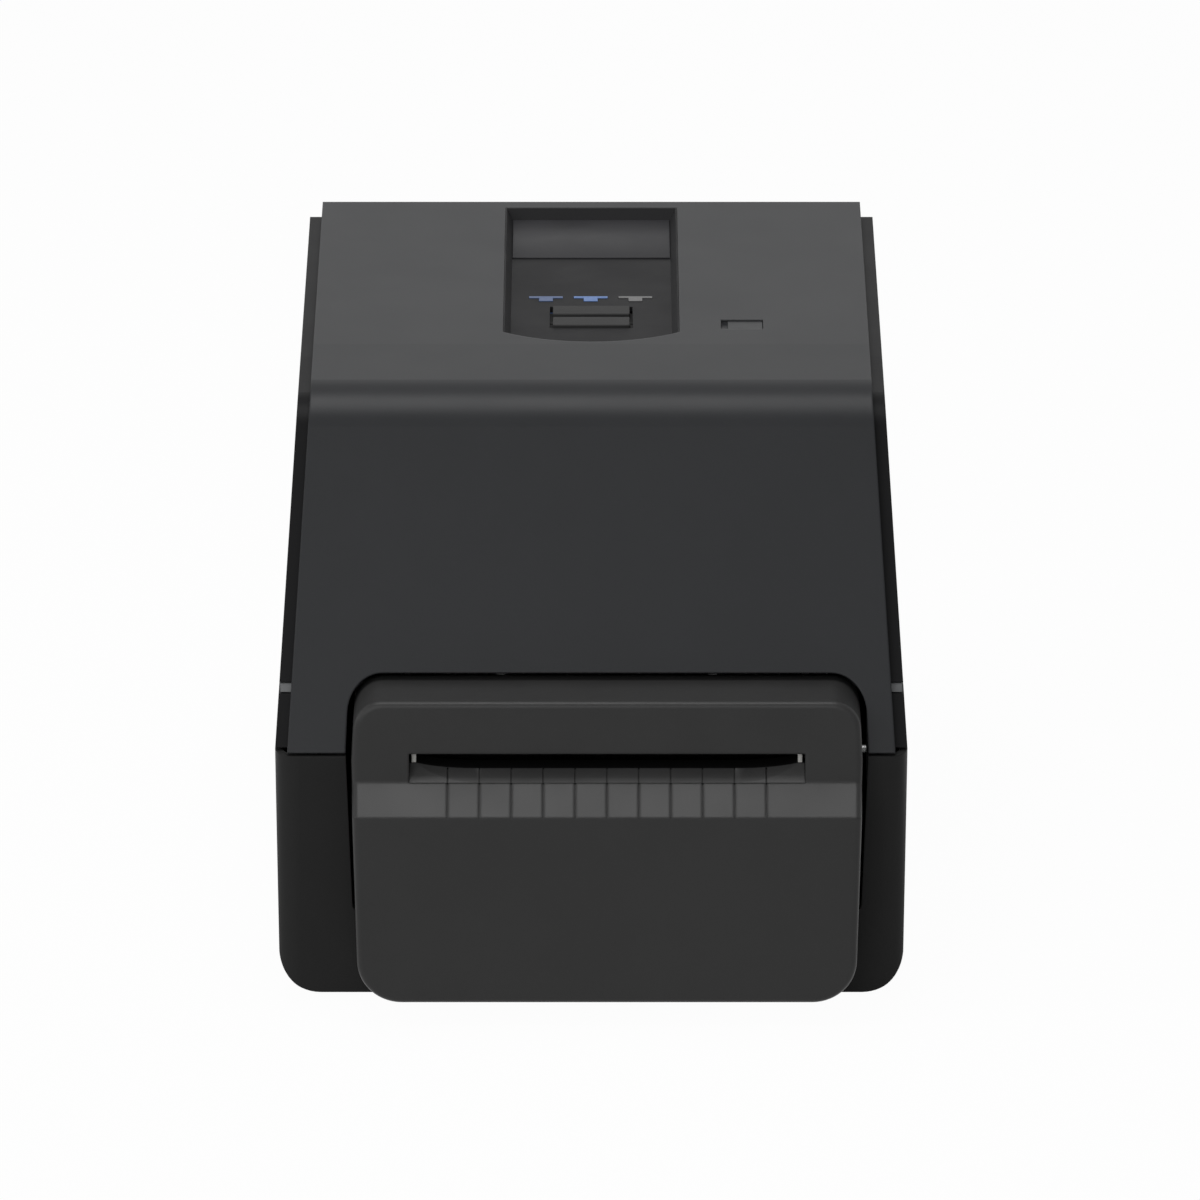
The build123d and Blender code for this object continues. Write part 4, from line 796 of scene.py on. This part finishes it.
@dataclass
class Cover:
    """The hinged cover: panel, cheeks, release buttons, control panel and what it carries inside."""

    release_edge: float = 0.25 * MM
    plate_edge: float = 0.12 * MM
    badge_edge: float = 0.15 * MM
    key_edge: float = 0.4 * MM
    key_facets: int = 3

    def build(self) -> None:
        """Round the cover's small pieces and dress the rest."""
        self.dress()
        release_buttons = ("release_button_left", "release_button_right")
        Shell.rounded(Plastic.RELEASE.value, self.release_edge, *release_buttons)
        Shell.rounded(Plastic.PLATE.value, self.plate_edge, "name_plate")
        Shell.rounded(Soft.BADGE.value, self.badge_edge, "badge_inset")
        keys = ("feed_button", "pause_button")
        Shell.rounded(Plastic.KEY.value, self.key_edge, *keys, segments=self.key_facets)

    def dress(self) -> None:
        """Dress the shells, the ribbon drive and the print head."""
        Shell.dress(Plastic.COVER.value, "cover_panel")
        Shell.dress(Plastic.CHEEK.value, "cover_cheek_left", "cover_cheek_right")
        Shell.dress(Plastic.TRAY.value, "panel_tray")
        Shell.dress(Lenses(), "indicator_lenses")
        Shell.dress(Soft.BOARD.value, "panel_board")
        Shell.dress(Plastic.INNER.value, "hinge_arms", "latch_hooks", "ribbon_bridge")
        Shell.dress(Metal.SHEET.value, "ribbon_frame_left", "ribbon_frame_right", "spring_bar")
        Shell.dress(Metal.SHEET.value, "head_bracket")
        Shell.dress(Plastic.SPINDLE.value, "ribbon_supply_spindle", "ribbon_takeup_spindle")
        Shell.dress(Metal.MOTOR.value, "ribbon_motor")
        Shell.dress(Plastic.GEAR.value, "ribbon_motor_pinion")
        Shell.dress(Metal.HEAD.value, "print_head")
        Shell.dress(Metal.SHAFT.value, "head_pivot_pin")
        Shell.dress(Metal.WIRE.value, "head_springs")


@dataclass
class Base:
    """The lower case with its frame, platen drive, media path, boards and sockets."""

    foot_edge: float = 0.8 * MM
    rocker_edge: float = 0.4 * MM
    facets: int = 3

    def build(self) -> None:
        """Round the feet and the rocker and dress the rest."""
        self.dress()
        Shell.rounded(Soft.FOOT.value, self.foot_edge, "rubber_feet", segments=self.facets)
        Shell.rounded(Plastic.ROCKER.value, self.rocker_edge, "power_rocker", segments=self.facets)

    def dress(self) -> None:
        """Dress the case and what stands in it."""
        Shell.dress(Plastic.CASE.value, "lower_case")
        Shell.dress(Plastic.SOCKET.value, "power_switch", "power_inlet")
        Shell.dress(Metal.SOCKET.value, "data_sockets")
        Shell.dress(Soft.BOARD.value, "main_board")
        Shell.dress(Metal.SHEET.value, "side_frame_left", "side_frame_right", "hinge_brackets")
        Shell.dress(Metal.SHAFT.value, "platen_shaft", "idler_post", "media_rods", "latch_catches")
        Shell.dress(Plastic.GEAR.value, "idler_gear", "motor_pinion", "holder_pinion")
        Shell.dress(Metal.MOTOR.value, "stepper_motor")
        Shell.dress(Soft.PLATEN.value, "platen_roller")
        Shell.dress(Plastic.INNER.value, "platen_bushes", "media_deck", "media_tray")
        Shell.dress(Plastic.SENSOR.value, "media_sensor")
        Shell.dress(Plastic.HOLDER.value, "media_holder_left", "media_holder_right")


@dataclass
class Cutter:
    """The cutter module in front."""

    guide_edge: float = 0.2 * MM

    def build(self) -> None:
        """Round the slot guides and dress the rest."""
        self.dress()
        Shell.rounded(Plastic.GUIDE.value, self.guide_edge, "slot_guides")

    def dress(self) -> None:
        """Dress the module's cover, its ramp and the cutter in it."""
        Shell.dress(Plastic.MODULE.value, "cutter_cover")
        # The ramp carries painted light on its slope and painted shade behind its lip
        Shell.dress(Plastic.LIP_PAINTED_LIGHT_AND_SHADE.value, "exit_ramp")
        # The cutter frame and blade are painted dark as painted shade inside the slot
        Shell.dress(Metal.BLADE_PAINTED_SHADE.value, "cutter_frame", "moving_blade")
        Shell.dress(Plastic.GEAR.value, "cutter_pinion")
        Shell.dress(Metal.MOTOR.value, "cutter_motor")


@dataclass
class SmallParts:
    """Screws of the frame and contacts of the rear sockets."""

    screw_xs: Range = (-69.4 * MM, 79.6 * MM)
    screw_ys: Triple = (-75.0 * MM, 0.0, 66.0 * MM)
    screw_seat_z: float = 7.0 * MM
    serial_x: float = -4.0 * MM
    serial_y: float = 140.5 * MM
    serial_rows: tuple[tuple[int, float], ...] = ((5, 18.4 * MM), (4, 15.6 * MM))
    serial_pitch: float = 2.77 * MM
    serial_length: float = 6.6 * MM
    network_x: float = 24.0 * MM
    network_y: float = 139.5 * MM
    network_z: float = 21.9 * MM
    network_pitch: float = 1.27 * MM
    network_count: int = 8
    network_width: float = 0.5 * MM
    network_length: float = 5.6 * MM

    def build(self) -> None:
        """Build and place the repeated pieces."""
        seats = [(x, y, self.screw_seat_z) for x in self.screw_xs for y in self.screw_ys]
        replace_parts(screw_tree().row("frame_screw_set", seats, "screw_steel"), "frame_screws")
        pins = pin_tree()
        serial = [
            (self.serial_x + step, self.serial_y, z)
            for count, z in self.serial_rows
            for step in self.steps(count, self.serial_pitch)
        ]
        pins.row("serial_pins", serial, "socket_metal", pin_length=self.serial_length)
        network = [
            (self.network_x + step, self.network_y, self.network_z)
            for step in self.steps(self.network_count, self.network_pitch)
        ]
        pins.row(
            "network_contacts",
            network,
            "socket_metal",
            pin_width=self.network_width,
            pin_length=self.network_length,
        )

    @staticmethod
    def steps(count: int, pitch: float) -> list[float]:
        """Places of a row's members on both sides of its middle."""
        return [(index - (count - 1) / 2) * pitch for index in range(count)]


@dataclass(frozen=True)
class Lamp:
    """A soft lamp that faces the object: its name, place, width and height in metres, and watts."""

    name: str
    place: Triple
    size: Range
    power: float

    def build(self) -> None:
        """Set the lamp up."""
        light = bpy.data.lights.new(self.name, "AREA")
        light.shape = "RECTANGLE"
        light.size, light.size_y = self.size
        light.energy = self.power
        holder = Shell.placed(self.name, light)
        holder.location = self.place
        aim = Vector(LAMP_TARGET) - Vector(self.place)
        holder.rotation_euler = aim.to_track_quat("-Z", "Y").to_euler()


@dataclass
class Studio:
    """Floor, sky, lamps and camera."""

    lamps: tuple[Lamp, ...] = (
        Lamp("top_lamp", (-0.1, 0.0, 1.7), (0.8, 0.8), 11.0),
        Lamp("front_lamp", (-0.6, -2.4, 1.4), (2.0, 1.4), 22.0),
        Lamp("left_lamp", (-2.2, -0.6, 1.2), (0.8, 1.6), 12.0),
    )
    eye: Triple = (0.0, -3.8619, 1.501)
    elevation: float = 20.0
    lens: float = 369.0
    sensor: float = 36.0
    shift_x: float = 0.00725
    sight: float = 30.0
    floor_half: float = 6.0
    floor_cells: int = 8
    sky_light: float = 0.096
    sky_mirrored: float = 0.8

    def build(self) -> None:
        """Set up everything round the object."""
        bpy.context.scene.view_settings.view_transform = "Standard"
        self.sky()
        self.floor()
        for lamp in self.lamps:
            lamp.build()
        self.camera()

    def sky(self) -> None:
        """World that is white to the camera and dim as a light."""
        world = bpy.data.worlds.new("studio_sky")
        bpy.context.scene.world = world
        graph = Graph(world)
        rays = graph.node("ShaderNodeLightPath")
        through = graph.signal(rays, "Is Transmission Ray")
        mirrored = graph.signal(rays, "Is Glossy Ray").join("MAXIMUM", through)
        strength = mirrored * (self.sky_mirrored - self.sky_light) + self.sky_light
        strength = strength.join("MAXIMUM", graph.signal(rays, "Is Camera Ray"))
        light = graph.node("ShaderNodeBackground", Color=WHITE, Strength=strength)
        graph.node("ShaderNodeOutputWorld", Surface=graph.signal(light))

    def floor(self) -> None:
        """Pale floor that keeps the object's shadow and is white to the camera."""
        shape = bmesh.new()
        bmesh.ops.create_grid(
            shape, x_segments=self.floor_cells, y_segments=self.floor_cells, size=self.floor_half
        )
        mesh = bpy.data.meshes.new("floor")
        shape.to_mesh(mesh)
        shape.free()
        mesh.materials.append(Paper().material())
        Shell.placed("floor", mesh)

    def camera(self) -> None:
        """Camera at the photograph's distance, height and angle."""
        data = bpy.data.cameras.new("camera")
        data.lens = self.lens
        data.sensor_width = self.sensor
        data.shift_x = self.shift_x
        data.clip_end = self.sight
        holder = Shell.placed("camera", data)
        holder.location = self.eye
        holder.rotation_euler = (math.radians(90.0 - self.elevation), 0.0, 0.0)
        bpy.context.scene.camera = holder


def main() -> None:
    """Build the scene."""
    logging.basicConfig(level=logging.INFO, format="%(message)s")
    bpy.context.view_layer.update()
    for part in (Cover(), Base(), Cutter(), SmallParts(), Studio()):
        part.build()
        log.info("%s finished", type(part).__name__)


if __name__ == "__main__":
    main()
